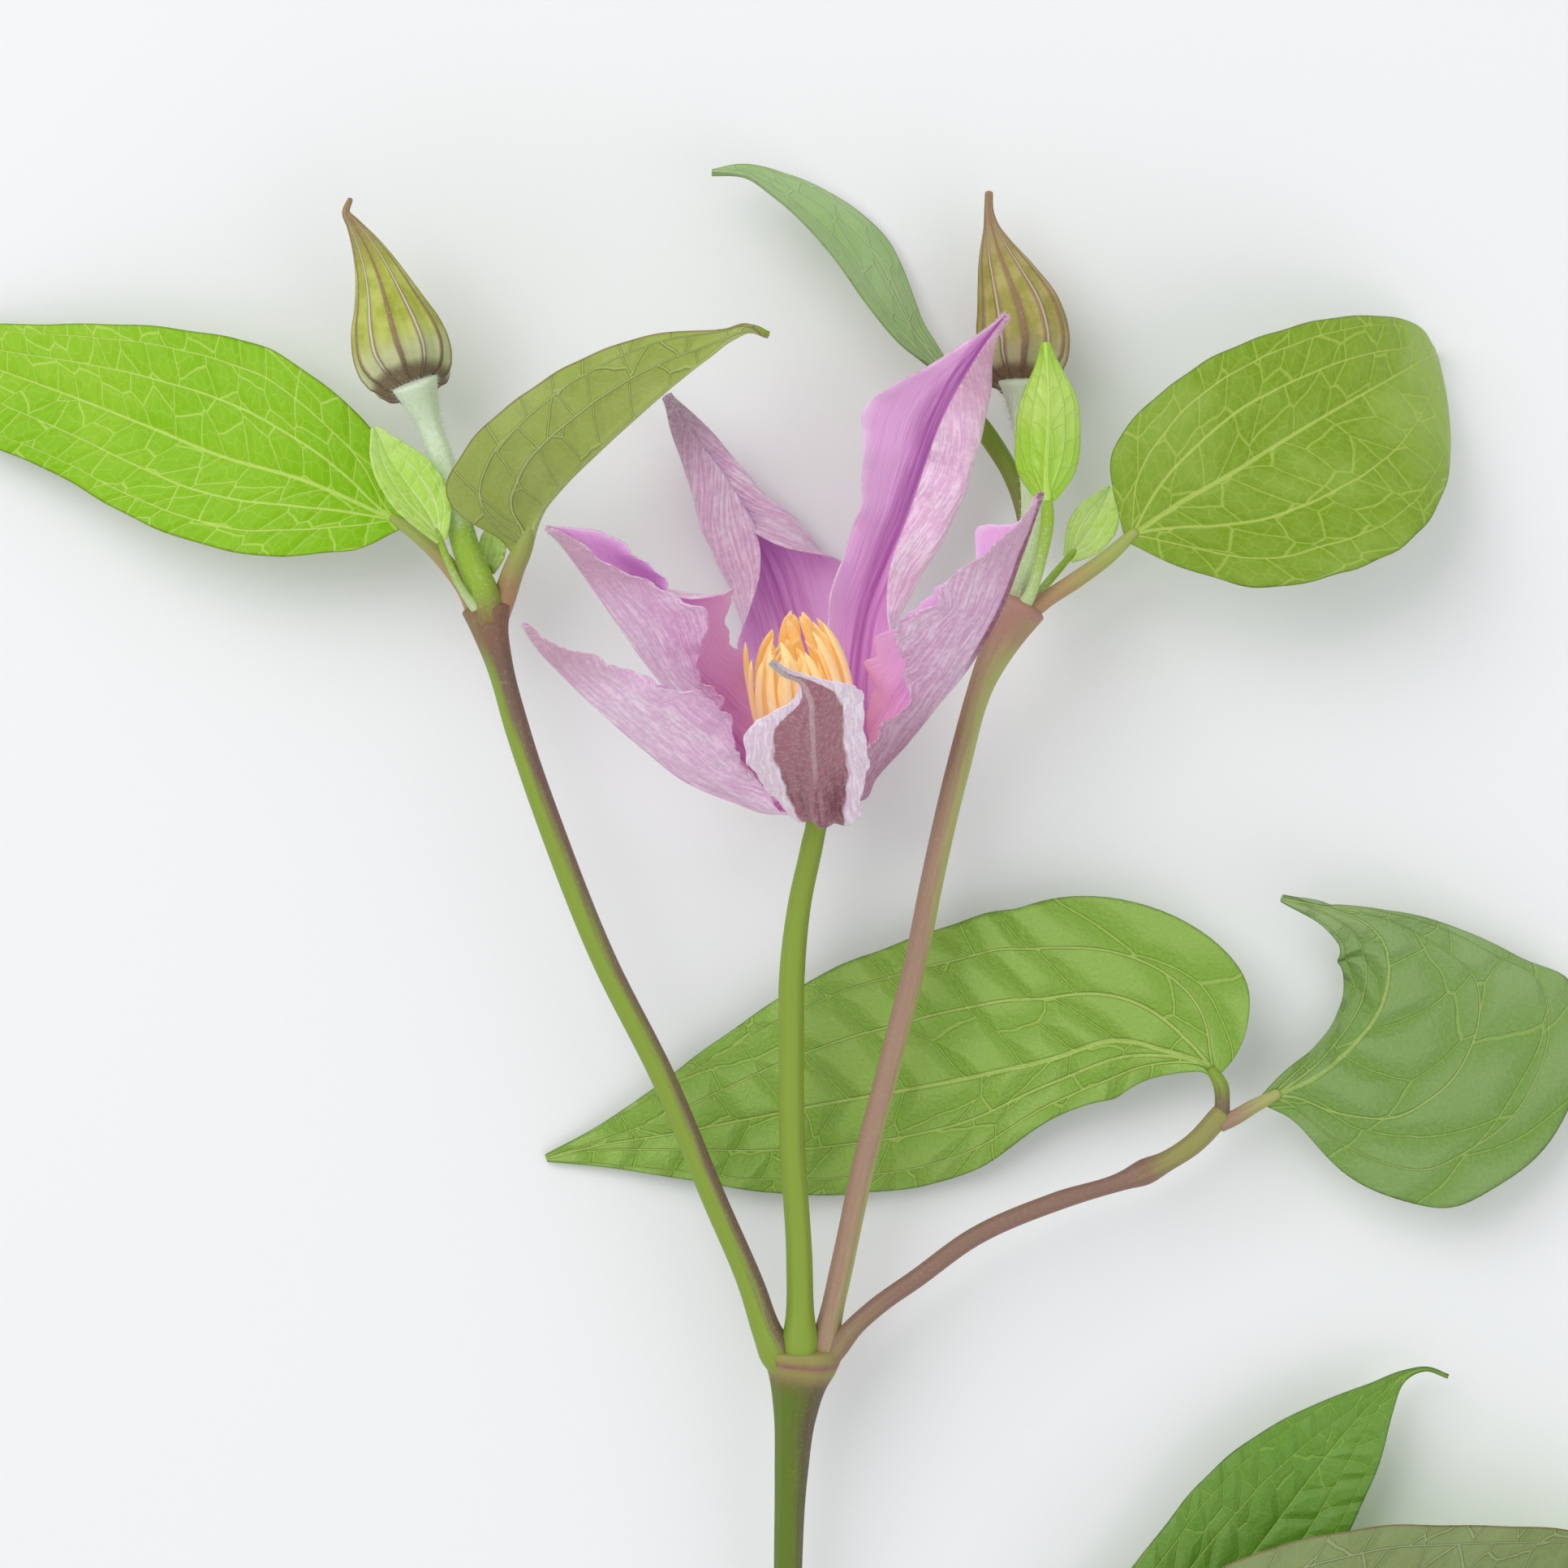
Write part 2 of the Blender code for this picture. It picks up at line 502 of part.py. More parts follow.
def small_leaves():
    small_leaf("bract_left_outer", bright_leaf(),
               ((-39.6, 23.7, 16.9, 0.5), (-41.3, 27.0, 17.5, 0.5), (-42.3, 30.0, 17.9, 0.45)),
               ((-42.3, 30.0, 17.9, 0.8, 0.8), (-44.0, 33.5, 18.4, 3.2, 3.4), (-46.6, 37.2, 18.8, 4.0, 4.2),
                (-49.2, 41.0, 19.0, 2.6, 2.6), (-50.5, 44.0, 19.2, 0.5, 0.5)),
               ((0.0, 0.2, 0.1, 1.0),), 22.0)
    small_leaf("bract_left_inner", bright_leaf(),
               ((-37.1, 24.0, 12.2, 0.45), (-36.7, 26.2, 12.4, 0.45)),
               ((-36.7, 26.2, 12.4, 0.7, 0.7), (-36.4, 28.4, 12.7, 1.8, 1.8), (-35.9, 31.0, 13.0, 1.6, 1.6),
                (-35.2, 33.6, 13.2, 0.5, 0.5)),
               ((0.0, 0.0, 0.1, 1.0),), 15.0, grid=(6, 2))
    small_leaf("bract_right_front", bright_leaf(),
               ((30.3, 23.1, 15.5, 0.75), (31.8, 28.0, 16.4, 0.75), (32.6, 33.0, 17.0, 0.8),
                (32.5, 35.0, 17.1, 0.8)),
               ((32.5, 35.0, 17.1, 1.2, 1.2), (32.4, 38.0, 17.2, 3.9, 3.9), (32.6, 43.0, 17.4, 4.7, 4.7),
                (32.7, 48.0, 17.6, 4.0, 4.0), (32.5, 52.0, 17.4, 1.7, 1.7), (32.3, 54.6, 17.2, 0.5, 0.5)),
               ((0.0, 0.05, 0.1, -1.0),), 26.0)
    small_leaf("bract_right_back", bright_leaf(),
               ((30.9, 22.8, 11.0, 0.5), (33.6, 26.0, 11.2, 0.5), (35.4, 28.0, 11.4, 0.45)),
               ((35.4, 28.0, 11.4, 0.8, 0.8), (37.4, 30.6, 11.7, 2.8, 2.8), (39.2, 33.6, 11.9, 2.9, 2.9),
                (40.6, 37.0, 12.0, 0.5, 0.5)),
               ((0.0, 0.0, 0.0, 1.0),), 15.0, grid=(6, 2))


# Buds: round bodies with ribs that fade towards the bent tip

def bud(name, route, finish):
    """Rings round rows (x, y, z, radius), with ribs raised by a cosine of the turn."""
    rings = 14
    spots = along(route, np.linspace(0.0, 1.0, rings))
    turn = np.arange(BUD_SIDES) * 2 * math.pi / BUD_SIDES
    fade = 1.0 - np.linspace(0.0, 1.0, rings) ** 2
    ribs = 1.0 + BUD_RIB_HEIGHT * np.cos(BUD_RIBS * turn)[None, :] * fade[:, None]
    tangent = unit(np.gradient(spots[:, :3], axis=0))
    side = unit(np.cross(tangent, (0.0, 0.0, 1.0)))
    up = np.cross(side, tangent)
    radius = (spots[:, 3:4] * ribs)[:, :, None]
    round_it = np.cos(turn)[None, :, None] * side[:, None, :] + np.sin(turn)[None, :, None] * up[:, None, :]
    points = spots[:, None, :3] + radius * round_it
    thing = mesh_object(name, points.reshape(-1, 3), ring_faces(rings, BUD_SIDES), finish)
    thing.data.shade_smooth()


def buds():
    bud("bud_left", (
        (-46.1, 49.3, 15.1, 2.7), (-46.6, 50.9, 15.1, 4.9), (-47.4, 53.6, 15.0, 5.75),
        (-48.3, 56.6, 15.0, 5.3), (-49.3, 60.2, 15.0, 3.95), (-50.6, 64.0, 15.0, 2.65),
        (-51.8, 67.0, 15.0, 1.8), (-53.1, 69.6, 15.0, 1.0),
        (-54.1, 71.2, 15.0, 0.6), (-53.8, 72.4, 15.1, 0.5),
    ), bud_green())
    bud("bud_right", (
        (29.3, 50.6, 9.0, 2.5), (29.7, 52.2, 9.0, 4.5), (29.9, 55.0, 9.0, 5.5), (29.4, 58.4, 9.0, 5.25),
        (27.9, 63.0, 9.0, 3.8), (27.0, 65.5, 9.0, 2.8), (26.4, 67.5, 9.0, 1.9), (25.9, 69.6, 9.0, 1.0),
        (25.6, 71.6, 9.0, 0.6), (25.6, 73.8, 9.0, 0.5),
    ), bud_green())


# Tepals

def tepal(name, angle, stations, face, left, right, shoulder=TEPAL_SHOULDER, shoulder_half=2.9,
          grid=TEPAL_GRID, **more):
    """A tepal starts at the bloom's middle, turns up at its shoulder, then follows its own stations."""
    root = (*ring_spot(angle, *TEPAL_ROOT), 1.15, 1.15)
    turn = (*ring_spot(angle, *shoulder), shoulder_half, shoulder_half)
    sheet = blade_grid(grid, (root, turn) + stations, face, left, right, **more)
    return blade_object(name, sheet, TEPAL_THICKNESS, tepal_pink())


def tepals():
    tepal("tepal_front", 270.0,
          ((4.3, -2.8, 27.0, 5.4, 5.4), (3.9, -0.4, 34.0, 6.8, 6.8), (3.5, 4.0, 44.0, 7.6, 8.2),
           (3.4, 6.0, 47.6, 7.8, 8.0), (3.3, 7.6, 50.0, 7.2, 4.8), (3.0, 10.6, 53.6, 4.0, 1.6),
           (2.0, 12.4, 54.8, 0.9, 0.8), (0.2, 13.2, 55.2, 0.6, 0.6), (-1.4, 14.6, 55.4, 0.5, 0.5)),
          ((0.0, 0.1, 0.8, 0.0), (0.8, 0.05, 0.9, -0.4), (1.0, 0.5, 0.7, -0.5)),
          left=((0.0, 6.0, 12.0, 0.0), (0.5, 26.0, -6.0, 0.0), (0.76, 40.0, -6.0, 0.0),
                (1.0, 20.0, 0.0, 0.0)),
          right=((0.0, 6.0, 12.0, 0.0), (0.5, 22.0, -6.0, -16.0), (0.75, 26.0, -6.0, -20.0),
                 (1.0, 20.0, 0.0, 0.0)),
          shoulder=(6.8, -1.4), shoulder_half=4.0, grid=(15, 4))
    tepal("tepal_left_low", 210.0,
          ((-6.0, -2.0, 21.0, 5.4, 5.0), (-12.0, 0.6, 25.4, 9.0, 8.5), (-16.8, 4.4, 30.8, 11.4, 8.2),
           (-21.8, 8.8, 37.4, 10.0, 5.2), (-26.3, 13.2, 43.0, 6.0, 3.0), (-29.4, 16.8, 46.6, 2.4, 1.2),
           (-30.6, 19.0, 48.2, 0.5, 0.5)),
          ((0.0, 0.5, 0.8, 0.1), (1.0, 0.55, 0.8, 0.2)),
          left=((0.0, 10.0, 10.0, 0.0), (0.14, 25.0, 20.0, 0.0), (0.3, 38.0, 24.0, 0.0),
                (1.0, 35.0, 20.0, 0.0)),
          right=((0.0, 10.0, 10.0, 0.0), (0.14, 25.0, 20.0, 0.0), (0.3, 45.0, 25.0, 0.0),
                 (1.0, 35.0, 20.0, 0.0)),
          wave=(0.7, 3.0, 0.2))
    tepal("tepal_left_high", 150.0,
          ((-5.2, 3.0, 13.8, 3.6, 5.0), (-11.0, 8.2, 17.0, 5.2, 9.5), (-15.8, 13.6, 23.0, 7.4, 12.6),
           (-20.0, 19.6, 29.4, 12.0, 12.4), (-24.0, 25.4, 35.2, 7.2, 6.6), (-26.8, 29.2, 38.6, 3.0, 2.4),
           (-28.2, 30.8, 40.2, 0.5, 0.5)),
          ((0.0, 0.6, 0.3, 0.6), (0.3, 0.7, 0.6, 0.3), (1.0, 0.75, 0.6, 0.25)),
          left=((0.0, 10.0, 10.0, 0.0), (0.14, 15.0, 15.0, 0.0), (0.3, 26.0, 20.0, 0.0),
                (0.6, 40.0, 20.0, 0.0), (1.0, 35.0, 20.0, 0.0)),
          right=((0.0, 10.0, 10.0, 0.0), (0.14, 25.0, 20.0, 0.0), (0.3, 60.0, 20.0, 0.0),
                 (0.52, 60.0, 30.0, 0.0), (0.64, 60.0, 30.0, 60.0), (1.0, 40.0, 20.0, 0.0)),
          wave=(0.8, 3.0, 0.6))
    tepal("tepal_back_left", 90.0,
          ((3.6, 7.4, 5.4, 4.6, 4.2), (2.2, 13.6, 2.6, 8.0, 6.0), (0.4, 21.0, 0.5, 11.0, 9.4),
           (-2.6, 29.0, 0.1, 13.4, 12.6), (-6.4, 35.5, 1.4, 12.8, 9.6), (-9.8, 41.2, 4.0, 8.8, 6.2),
           (-12.6, 45.4, 6.8, 4.8, 3.8), (-14.6, 48.4, 9.0, 0.6, 0.6)),
          ((0.0, 0.0, 0.8, 0.6), (0.3, 0.0, 0.3, 1.0), (1.0, 0.2, -0.3, 1.0)),
          left=((0.0, 10.0, 10.0, 0.0), (0.3, 6.0, 40.0, 0.0), (0.5, 10.0, 30.0, 90.0),
                (0.65, 20.0, 30.0, 125.0), (1.0, 24.0, 30.0, 105.0)),
          right=((0.0, 10.0, 10.0, 0.0), (0.3, 4.0, 20.0, 0.0), (0.46, 4.0, 20.0, 10.0),
                 (0.56, 10.0, 20.0, 100.0), (0.65, 20.0, 30.0, 120.0), (1.0, 24.0, 30.0, 105.0)),
          grid=FOLDED_GRID)
    tepal("tepal_back_right", 30.0,
          ((9.0, 7.0, 10.0, 4.0, 4.4), (9.2, 14.0, 8.2, 5.4, 6.4), (10.4, 21.4, 7.6, 6.6, 8.8),
           (12.9, 28.1, 7.4, 7.2, 10.2), (15.6, 34.8, 8.2, 7.6, 12.0), (17.6, 40.6, 9.8, 9.0, 13.2),
           (19.4, 45.5, 11.8, 10.6, 12.4), (22.2, 50.7, 14.8, 5.0, 8.6), (25.1, 54.9, 18.0, 2.0, 2.8),
           (27.3, 57.6, 20.8, 0.5, 0.5)),
          ((0.0, 0.0, 0.8, 0.6), (0.3, 0.0, 0.2, 1.0), (1.0, -0.1, -0.3, 1.0)),
          left=((0.0, 4.0, 8.0, 0.0), (0.3, 35.0, 20.0, 0.0), (0.6, 25.0, 20.0, 0.0), (1.0, 15.0, 20.0, 0.0)),
          right=((0.0, 10.0, 10.0, 0.0), (0.3, 20.0, 30.0, 40.0), (0.45, 10.0, 20.0, 125.0),
                 (0.65, 6.0, 20.0, 150.0), (1.0, 10.0, 20.0, 130.0)),
          wave=(0.7, 4.0, 0.3), grid=FOLDED_GRID)
    tepal("tepal_right", 330.0,
          ((11.0, 0.6, 20.6, 5.4, 4.6), (14.8, 5.0, 24.0, 8.6, 5.0), (19.0, 10.2, 29.0, 10.4, 4.6),
           (21.4, 13.2, 32.4, 10.2, 7.4), (23.2, 16.0, 35.4, 9.6, 10.8), (26.6, 22.8, 41.6, 5.6, 9.2),
           (27.9, 26.6, 44.1, 7.4, 6.6), (29.2, 30.4, 46.6, 2.2, 3.2), (30.4, 34.6, 48.4, 0.5, 0.5)),
          ((0.0, -0.5, 0.8, 0.2), (1.0, -0.6, 0.7, 0.3)),
          left=((0.0, 10.0, 10.0, 0.0), (0.14, 25.0, 20.0, 0.0), (0.3, 55.0, 25.0, 0.0),
                (1.0, 35.0, 20.0, 0.0)),
          right=((0.0, 10.0, 10.0, 0.0), (0.14, 25.0, 20.0, 0.0), (0.3, 42.0, 20.0, 0.0),
                 (1.0, 35.0, 20.0, 0.0)),
          wave=(0.7, 3.0, 0.8), grid=(15, 4))


def flat_spot(name):
    """Cuts a node off level with the surface that it lies on."""
    wide, long, deep = SURFACE_BLOCK
    corners = [(x * wide / 2, y * long / 2, z) for z in (-deep, 0.0) for y in (-1, 1) for x in (-1, 1)]
    faces = [(0, 2, 3, 1), (4, 5, 7, 6), (0, 1, 5, 4), (2, 6, 7, 3), (0, 4, 6, 2), (1, 3, 7, 5)]
    block = mesh_object(name + "_surface", corners, faces, tepal_pink())
    fuse(bpy.data.objects[name], block, "DIFFERENCE")


# Stamens and styles

def strap(angle, root, belly, length, width, depth, steps=6):
    """A flat strap that swells out round the middle and bends in at its tip."""
    share = np.linspace(0.0, 1.0, steps)
    out = root + (belly - root) * np.sin(math.pi * np.minimum(share * 0.78, 1.0)) - 1.3 * share ** 4
    height = length * (share - 0.06 * share ** 3)
    axis, right, back = bloom_frame()
    outward = math.cos(angle) * right + math.sin(angle) * back
    aside = -math.sin(angle) * right + math.cos(angle) * back
    middle = np.array(BLOOM_CENTRE) + out[:, None] * outward + (height + 0.6)[:, None] * axis
    half = width / 2 * (0.75 + 0.35 * np.sin(math.pi * share) - 0.15 * share ** 6)
    corners = []
    for row in range(steps):
        for across, deep in ((-1, -1), (1, -1), (1, 1), (-1, 1)):
            corners.append(middle[row] + across * half[row] * aside + deep * depth / 2 * outward)
    return np.array(corners), ring_faces(steps, 4)


def round_rim(sides):
    axis, right, back = bloom_frame()
    turn = np.arange(sides) * 2 * math.pi / sides
    return np.cos(turn)[:, None] * right + np.sin(turn)[:, None] * back


def seat():
    """Where the stamens and styles stand, just clear of the stalk's swollen end."""
    return np.array(BLOOM_CENTRE) + SEAT_GAP * bloom_frame()[0]


def cone(wide, narrow, height, sides):
    rim = round_rim(sides)
    points = np.vstack((seat() + wide * rim, seat() + narrow * rim + height * bloom_frame()[0]))
    return points, ring_faces(2, sides)


def collar(inner, outer, depth, sides=16):
    """A flat ring round the bloom's axis."""
    rim = round_rim(sides)
    top = seat() + depth * bloom_frame()[0]
    points = np.vstack((seat() + inner * rim, seat() + outer * rim, top + outer * rim, top + inner * rim))
    faces = []
    for ring in range(4):
        for side in range(sides):
            a = ring * sides + side
            b = ring * sides + (side + 1) % sides
            faces.append((a, b, (b + sides) % (4 * sides), (a + sides) % (4 * sides)))
    return points, faces


def joined(name, solids, finish):
    """One closed body from solids that run into each other."""
    helpers = []
    group = bpy.data.collections.new(name + "_pieces")
    bpy.context.scene.collection.children.link(group)
    for number, (points, faces) in enumerate(solids):
        piece = mesh_object(f"{name}_{number}", points, faces, finish)
        outward(piece)
        bpy.context.scene.collection.objects.unlink(piece)
        if number:
            group.objects.link(piece)
            helpers.append(piece)
        else:
            bpy.context.scene.collection.objects.link(piece)
            body = piece
    body.name = name
    union = body.modifiers.new("Union", "BOOLEAN")
    union.operation = "UNION"
    union.solver = "MANIFOLD"
    union.operand_type = "COLLECTION"
    union.collection = group
    seen = bpy.context.evaluated_depsgraph_get()
    finished = bpy.data.meshes.new_from_object(body.evaluated_get(seen))
    body.modifiers.clear()
    body.data = finished
    for piece in helpers:
        bpy.data.objects.remove(piece, do_unlink=True)
    bpy.data.collections.remove(group)
    body.data.shade_flat()
    return body


def outward(thing):
    shape = bmesh.new()
    shape.from_mesh(thing.data)
    bmesh.ops.recalc_face_normals(shape, faces=shape.faces)
    shape.to_mesh(thing.data)
    shape.free()


def stamens():
    solids = [collar(*STAMEN_COLLAR)]
    for number, root, belly, length, offset in STAMEN_RINGS:
        for place in range(number):
            angle = (place + offset) * 2 * math.pi / number
            reach = length * (1.0 + 0.06 * math.sin(5.0 * place + number))
            solids.append(strap(angle, root, belly, reach, STAMEN_WIDTH, STAMEN_DEPTH))
    joined("stamens", solids, stamen_yellow())


def styles():
    """A short cone with thin styles that stand away from its upper end."""
    wide, narrow, height = STYLE_CONE
    solids = [cone(wide, narrow, height, sides=10)]
    for place in range(STYLE_COUNT):
        angle = place * 2 * math.pi / STYLE_COUNT
        solids.append(strap(angle, 0.45, 1.15, STYLE_LENGTH, STYLE_WIDTH, STYLE_WIDTH, steps=5))
    joined("styles", solids, style_green())


# Finishes

def green_stem():
    return finish_material("Green stem", (0.21, 0.27, 0.07), 0.5)


def purple_stem():
    return finish_material("Purple stem", (0.20, 0.13, 0.11), 0.5)


def downy_stem():
    return finish_material("Downy stalk", (0.45, 0.52, 0.33), 0.8)


def bright_leaf():
    return finish_material("Bright leaf", (0.24, 0.50, 0.03), 0.45)


def fresh_leaf():
    return finish_material("Fresh leaf", (0.19, 0.38, 0.06), 0.45)


def dark_leaf():
    return finish_material("Dark leaf", (0.12, 0.26, 0.05), 0.45)


def olive_leaf():
    return finish_material("Leaf underside", (0.20, 0.27, 0.10), 0.6)


def bud_green():
    return finish_material("Bud", (0.24, 0.25, 0.07), 0.6)


def tepal_pink():
    return finish_material("Tepal", (0.58, 0.26, 0.52), 0.6)


def stamen_yellow():
    return finish_material("Stamen", (0.90, 0.55, 0.12), 0.55)


def style_green():
    return finish_material("Style", (0.75, 0.60, 0.10), 0.6)


def build():
    clear_scene()
    main_stem()
    shoot_left()
    bloom_stalk()
    shoot_right()
    leaf_mid_stalk()
    leaf_low_stalk()
    bud_stalk_left()
    bud_stalk_right()
    leaf_left_outer()
    leaf_left_inner()
    leaf_right_outer()
    leaf_right_inner()
    leaflet_mid_left()
    leaflet_mid_right()
    leaflet_low_left()
    leaflet_low_right()
    small_leaves()
    buds()
    tepals()
    flat_spot("tepal_back_left")
    stamens()
    styles()


build()
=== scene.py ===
import math
import bpy
import numpy as np
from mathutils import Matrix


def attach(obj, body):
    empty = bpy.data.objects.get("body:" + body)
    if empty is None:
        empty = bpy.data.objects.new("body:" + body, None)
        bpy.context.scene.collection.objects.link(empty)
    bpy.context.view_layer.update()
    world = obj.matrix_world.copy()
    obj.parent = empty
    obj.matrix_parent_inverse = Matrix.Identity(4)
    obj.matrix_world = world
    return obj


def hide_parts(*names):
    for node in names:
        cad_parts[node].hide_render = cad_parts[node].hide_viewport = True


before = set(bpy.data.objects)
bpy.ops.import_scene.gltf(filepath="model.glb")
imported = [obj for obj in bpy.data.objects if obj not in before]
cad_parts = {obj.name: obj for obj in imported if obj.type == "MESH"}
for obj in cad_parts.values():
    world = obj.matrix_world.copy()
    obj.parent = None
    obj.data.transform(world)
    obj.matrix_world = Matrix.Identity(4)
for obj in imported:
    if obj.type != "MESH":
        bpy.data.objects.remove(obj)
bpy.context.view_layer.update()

mm = 0.001
planCentre = np.array((0.0, -47.1, 0.0))  # middle of the footprint in the plan that the points below are drawn on
print("frame loaded:", len(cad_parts), "nodes")


# Vectors divided by their own length.
def unit(vectors):
    return vectors / np.maximum(np.linalg.norm(vectors, axis=-1, keepdims=True), 1e-12)


# Cubic curve through the rows of values at the knots, with the slope at a knot taken from its neighbours.
def smoothRead(values, knots, where):
    slopes = np.gradient(values, knots, axis=0)
    index = np.clip(np.searchsorted(knots, where) - 1, 0, len(knots) - 2)
    span = (knots[index + 1] - knots[index])[:, None]
    t = (where - knots[index])[:, None] / span
    start = values[index] * (1 + 2 * t) * (1 - t) ** 2 + slopes[index] * span * t * (1 - t) ** 2
    return start + values[index + 1] * t * t * (3 - 2 * t) + slopes[index + 1] * span * t * t * (t - 1)


# Rows of a route (x, y, z and any widths) at shares of its length, and that length in mm.
def readRoute(points, shares):
    points = np.array(points, float)
    knots = np.concatenate(([0.0], np.cumsum(np.linalg.norm(np.diff(points[:, :3], axis=0), axis=1))))
    fine = np.linspace(0.0, knots[-1], 40 * len(points))
    path = smoothRead(points, knots, fine)[:, :3]
    travelled = np.concatenate(([0.0], np.cumsum(np.linalg.norm(np.diff(path, axis=0), axis=1))))
    return smoothRead(points, knots, np.interp(np.asarray(shares) * travelled[-1], travelled, fine)), travelled[-1]


# Values set at a few shares, as rows (share, value, ...), read in between.
def easeTable(table, shares):
    table = np.array(table, float)
    if len(table) == 1:
        return np.repeat(table[:, 1:], len(shares), axis=0)
    return smoothRead(table[:, 1:], table[:, 0], np.clip(shares, table[0, 0], table[-1, 0]))


# Rows drawn towards the mean of their neighbours a number of times, with the ends kept.
def soften(rows, times):
    rows = rows.copy()
    for _ in range(times):
        rows[1:-1] = 0.25 * rows[:-2] + 0.5 * rows[1:-1] + 0.25 * rows[2:]
    return rows


# Rows set closer at both ends: t - c * sin(2 pi t) / 2 pi.
def endwise(count, closer=0.5):
    t = np.linspace(0.0, 1.0, count)
    return t - closer * np.sin(2 * math.pi * t) / (2 * math.pi)


# A bell curve: 1 at no distance and 1/e at the width.
def bump(distance, width):
    return np.exp(-(distance / width) ** 2)


# An eased step from 0 at low to 1 at high: t * t * (3 - 2 t).
def stepUp(values, low, high):
    t = np.clip((values - low) / (high - low), 0.0, 1.0)
    return t * t * (3 - 2 * t)


# Angles of points evenly spaced round a circle.
def turnsRound(sides):
    return np.arange(sides) * 2 * math.pi / sides


# Rings of points joined by four-sided faces, and one face over each end.
def ringFaces(rings, sides):
    ring, place = np.meshgrid(np.arange(rings - 1), np.arange(sides), indexing="ij")
    a, b = ring * sides + place, ring * sides + (place + 1) % sides
    quads = np.stack((a, a + sides, b + sides, b), axis=-1).reshape(-1, 4)
    return [quads, np.stack((np.arange(sides), np.arange(rings * sides - 1, (rings - 1) * sides - 1, -1)))]


# Three readings spread over one grid and listed point by point.
def readings(*three):
    return np.stack(np.broadcast_arrays(*three), axis=-1).reshape(-1, 3)


# One mesh object from parts; a part has points in mm, arrays of faces, a material number for each array
# and named vectors on its points.
def placePiece(name, parts, materials, nodes):
    points = np.concatenate([part["points"] for part in parts])
    offsets = np.cumsum([0] + [len(part["points"]) for part in parts])
    faces, numbers = [], []
    for part, offset in zip(parts, offsets):
        for block, number in zip(part["faces"], part["numbers"]):
            faces.append(block + offset)
            numbers.append(np.full(len(block), number))
    sizes = np.concatenate([np.full(len(block), block.shape[1]) for block in faces])
    corners = np.concatenate([block.ravel() for block in faces])
    mesh = bpy.data.meshes.new(name)
    mesh.vertices.add(len(points))
    mesh.vertices.foreach_set("co", ((points - planCentre) * mm).astype(np.float32).ravel())
    mesh.loops.add(len(corners))
    mesh.loops.foreach_set("vertex_index", corners.astype(np.int32))
    mesh.polygons.add(len(sizes))
    mesh.polygons.foreach_set("loop_start", np.concatenate(([0], np.cumsum(sizes)[:-1])).astype(np.int32))
    mesh.polygons.foreach_set("material_index", np.concatenate(numbers).astype(np.int32))
    mesh.polygons.foreach_set("use_smooth", np.ones(len(sizes), bool))
    for key in ("place", "veins", "span"):
        rows = [part["values"].get(key, np.zeros_like(part["points"])) for part in parts]
        layer = mesh.attributes.new(key, "FLOAT_VECTOR", "POINT")
        layer.data.foreach_set("vector", np.concatenate(rows).astype(np.float32).ravel())
    mesh.update(calc_edges=True)
    mesh.validate()
    piece = bpy.data.objects.new(name, mesh)
    bpy.context.scene.collection.objects.link(piece)
    for material in materials:
        mesh.materials.append(material)
    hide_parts(*nodes)
    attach(piece, "root")


domeRings = 5  # rings that round off an end
domeTurn = math.radians(86)  # the last one stops short of the pole


# A tube along a route (x, y, z, radius, tallness): rings of a circle with a cosine of the turn for ridges,
# and rings on a quarter circle for each rounded end.
def tubePart(route, rings=60, sides=20, ridges=6, ridgeHeight=0.03, domes=(0, 0), slant=0.0,
             tint=((0, 0.3),), lit=(0, 0), collar=(), number=0):
    share = np.linspace(0.0, 1.0, rings)
    spots, length = readRoute(route, share)
    centre, radius = spots[:, :3], spots[:, 3]
    tall = spots[:, 4] if spots.shape[1] > 4 else np.ones(rings)
    tangent = unit(np.gradient(centre, axis=0))
    quarter = np.linspace(0.0, 1.0, domeRings + 1)[1:] * domeTurn
    for end, dome in enumerate(domes):
        if dome:
            at, way = (0, -1.0) if end == 0 else (-1, 1.0)
            more = centre[at] + way * dome * np.sin(quarter)[:, None] * tangent[at]
            order = slice(None, None, -1) if end == 0 else slice(None)
            blocks = [(centre, more), (radius, radius[at] * np.cos(quarter)), (tall, np.full(domeRings, tall[at])),
                      (tangent, np.repeat(tangent[at][None], domeRings, axis=0)),
                      (share, np.full(domeRings, share[at]))]
            joined = [np.concatenate((new[order], old) if end == 0 else (old, new)) for old, new in blocks]
            centre, radius, tall, tangent, share = joined
    side = unit(np.cross(tangent, (0.0, 0.0, 1.0)))
    up = np.cross(side, tangent)
    turn = turnsRound(sides)
    shape = 1.0 + ridgeHeight * (np.cos(ridges * turn) if ridges else np.zeros(sides))
    reach = radius[:, None] * shape
    points = (centre[:, None, :] + (reach * np.cos(turn))[:, :, None] * side[:, None, :]
              + (reach * np.sin(turn) * tall[:, None])[:, :, None] * up[:, None, :])
    points[0] += slant * np.sin(turn)[:, None] * radius[0] * tangent[0]
    amount, angle = lit
    colour = easeTable(tint, share)[:, :1] + amount * np.cos(turn - angle)[None, :]
    ringed = np.zeros(len(centre))
    for at, width, strength in collar:
        ringed = np.maximum(ringed, strength * bump(share - at, width))
    values = {"place": readings(np.cos(turn), np.sin(turn), (share * length)[:, None]),
              "span": readings(np.clip(colour, 0.0, 1.0), share[:, None], ringed[:, None])}
    return {"points": points.reshape(-1, 3), "faces": ringFaces(len(centre), sides), "numbers": [number, number],
            "values": values}


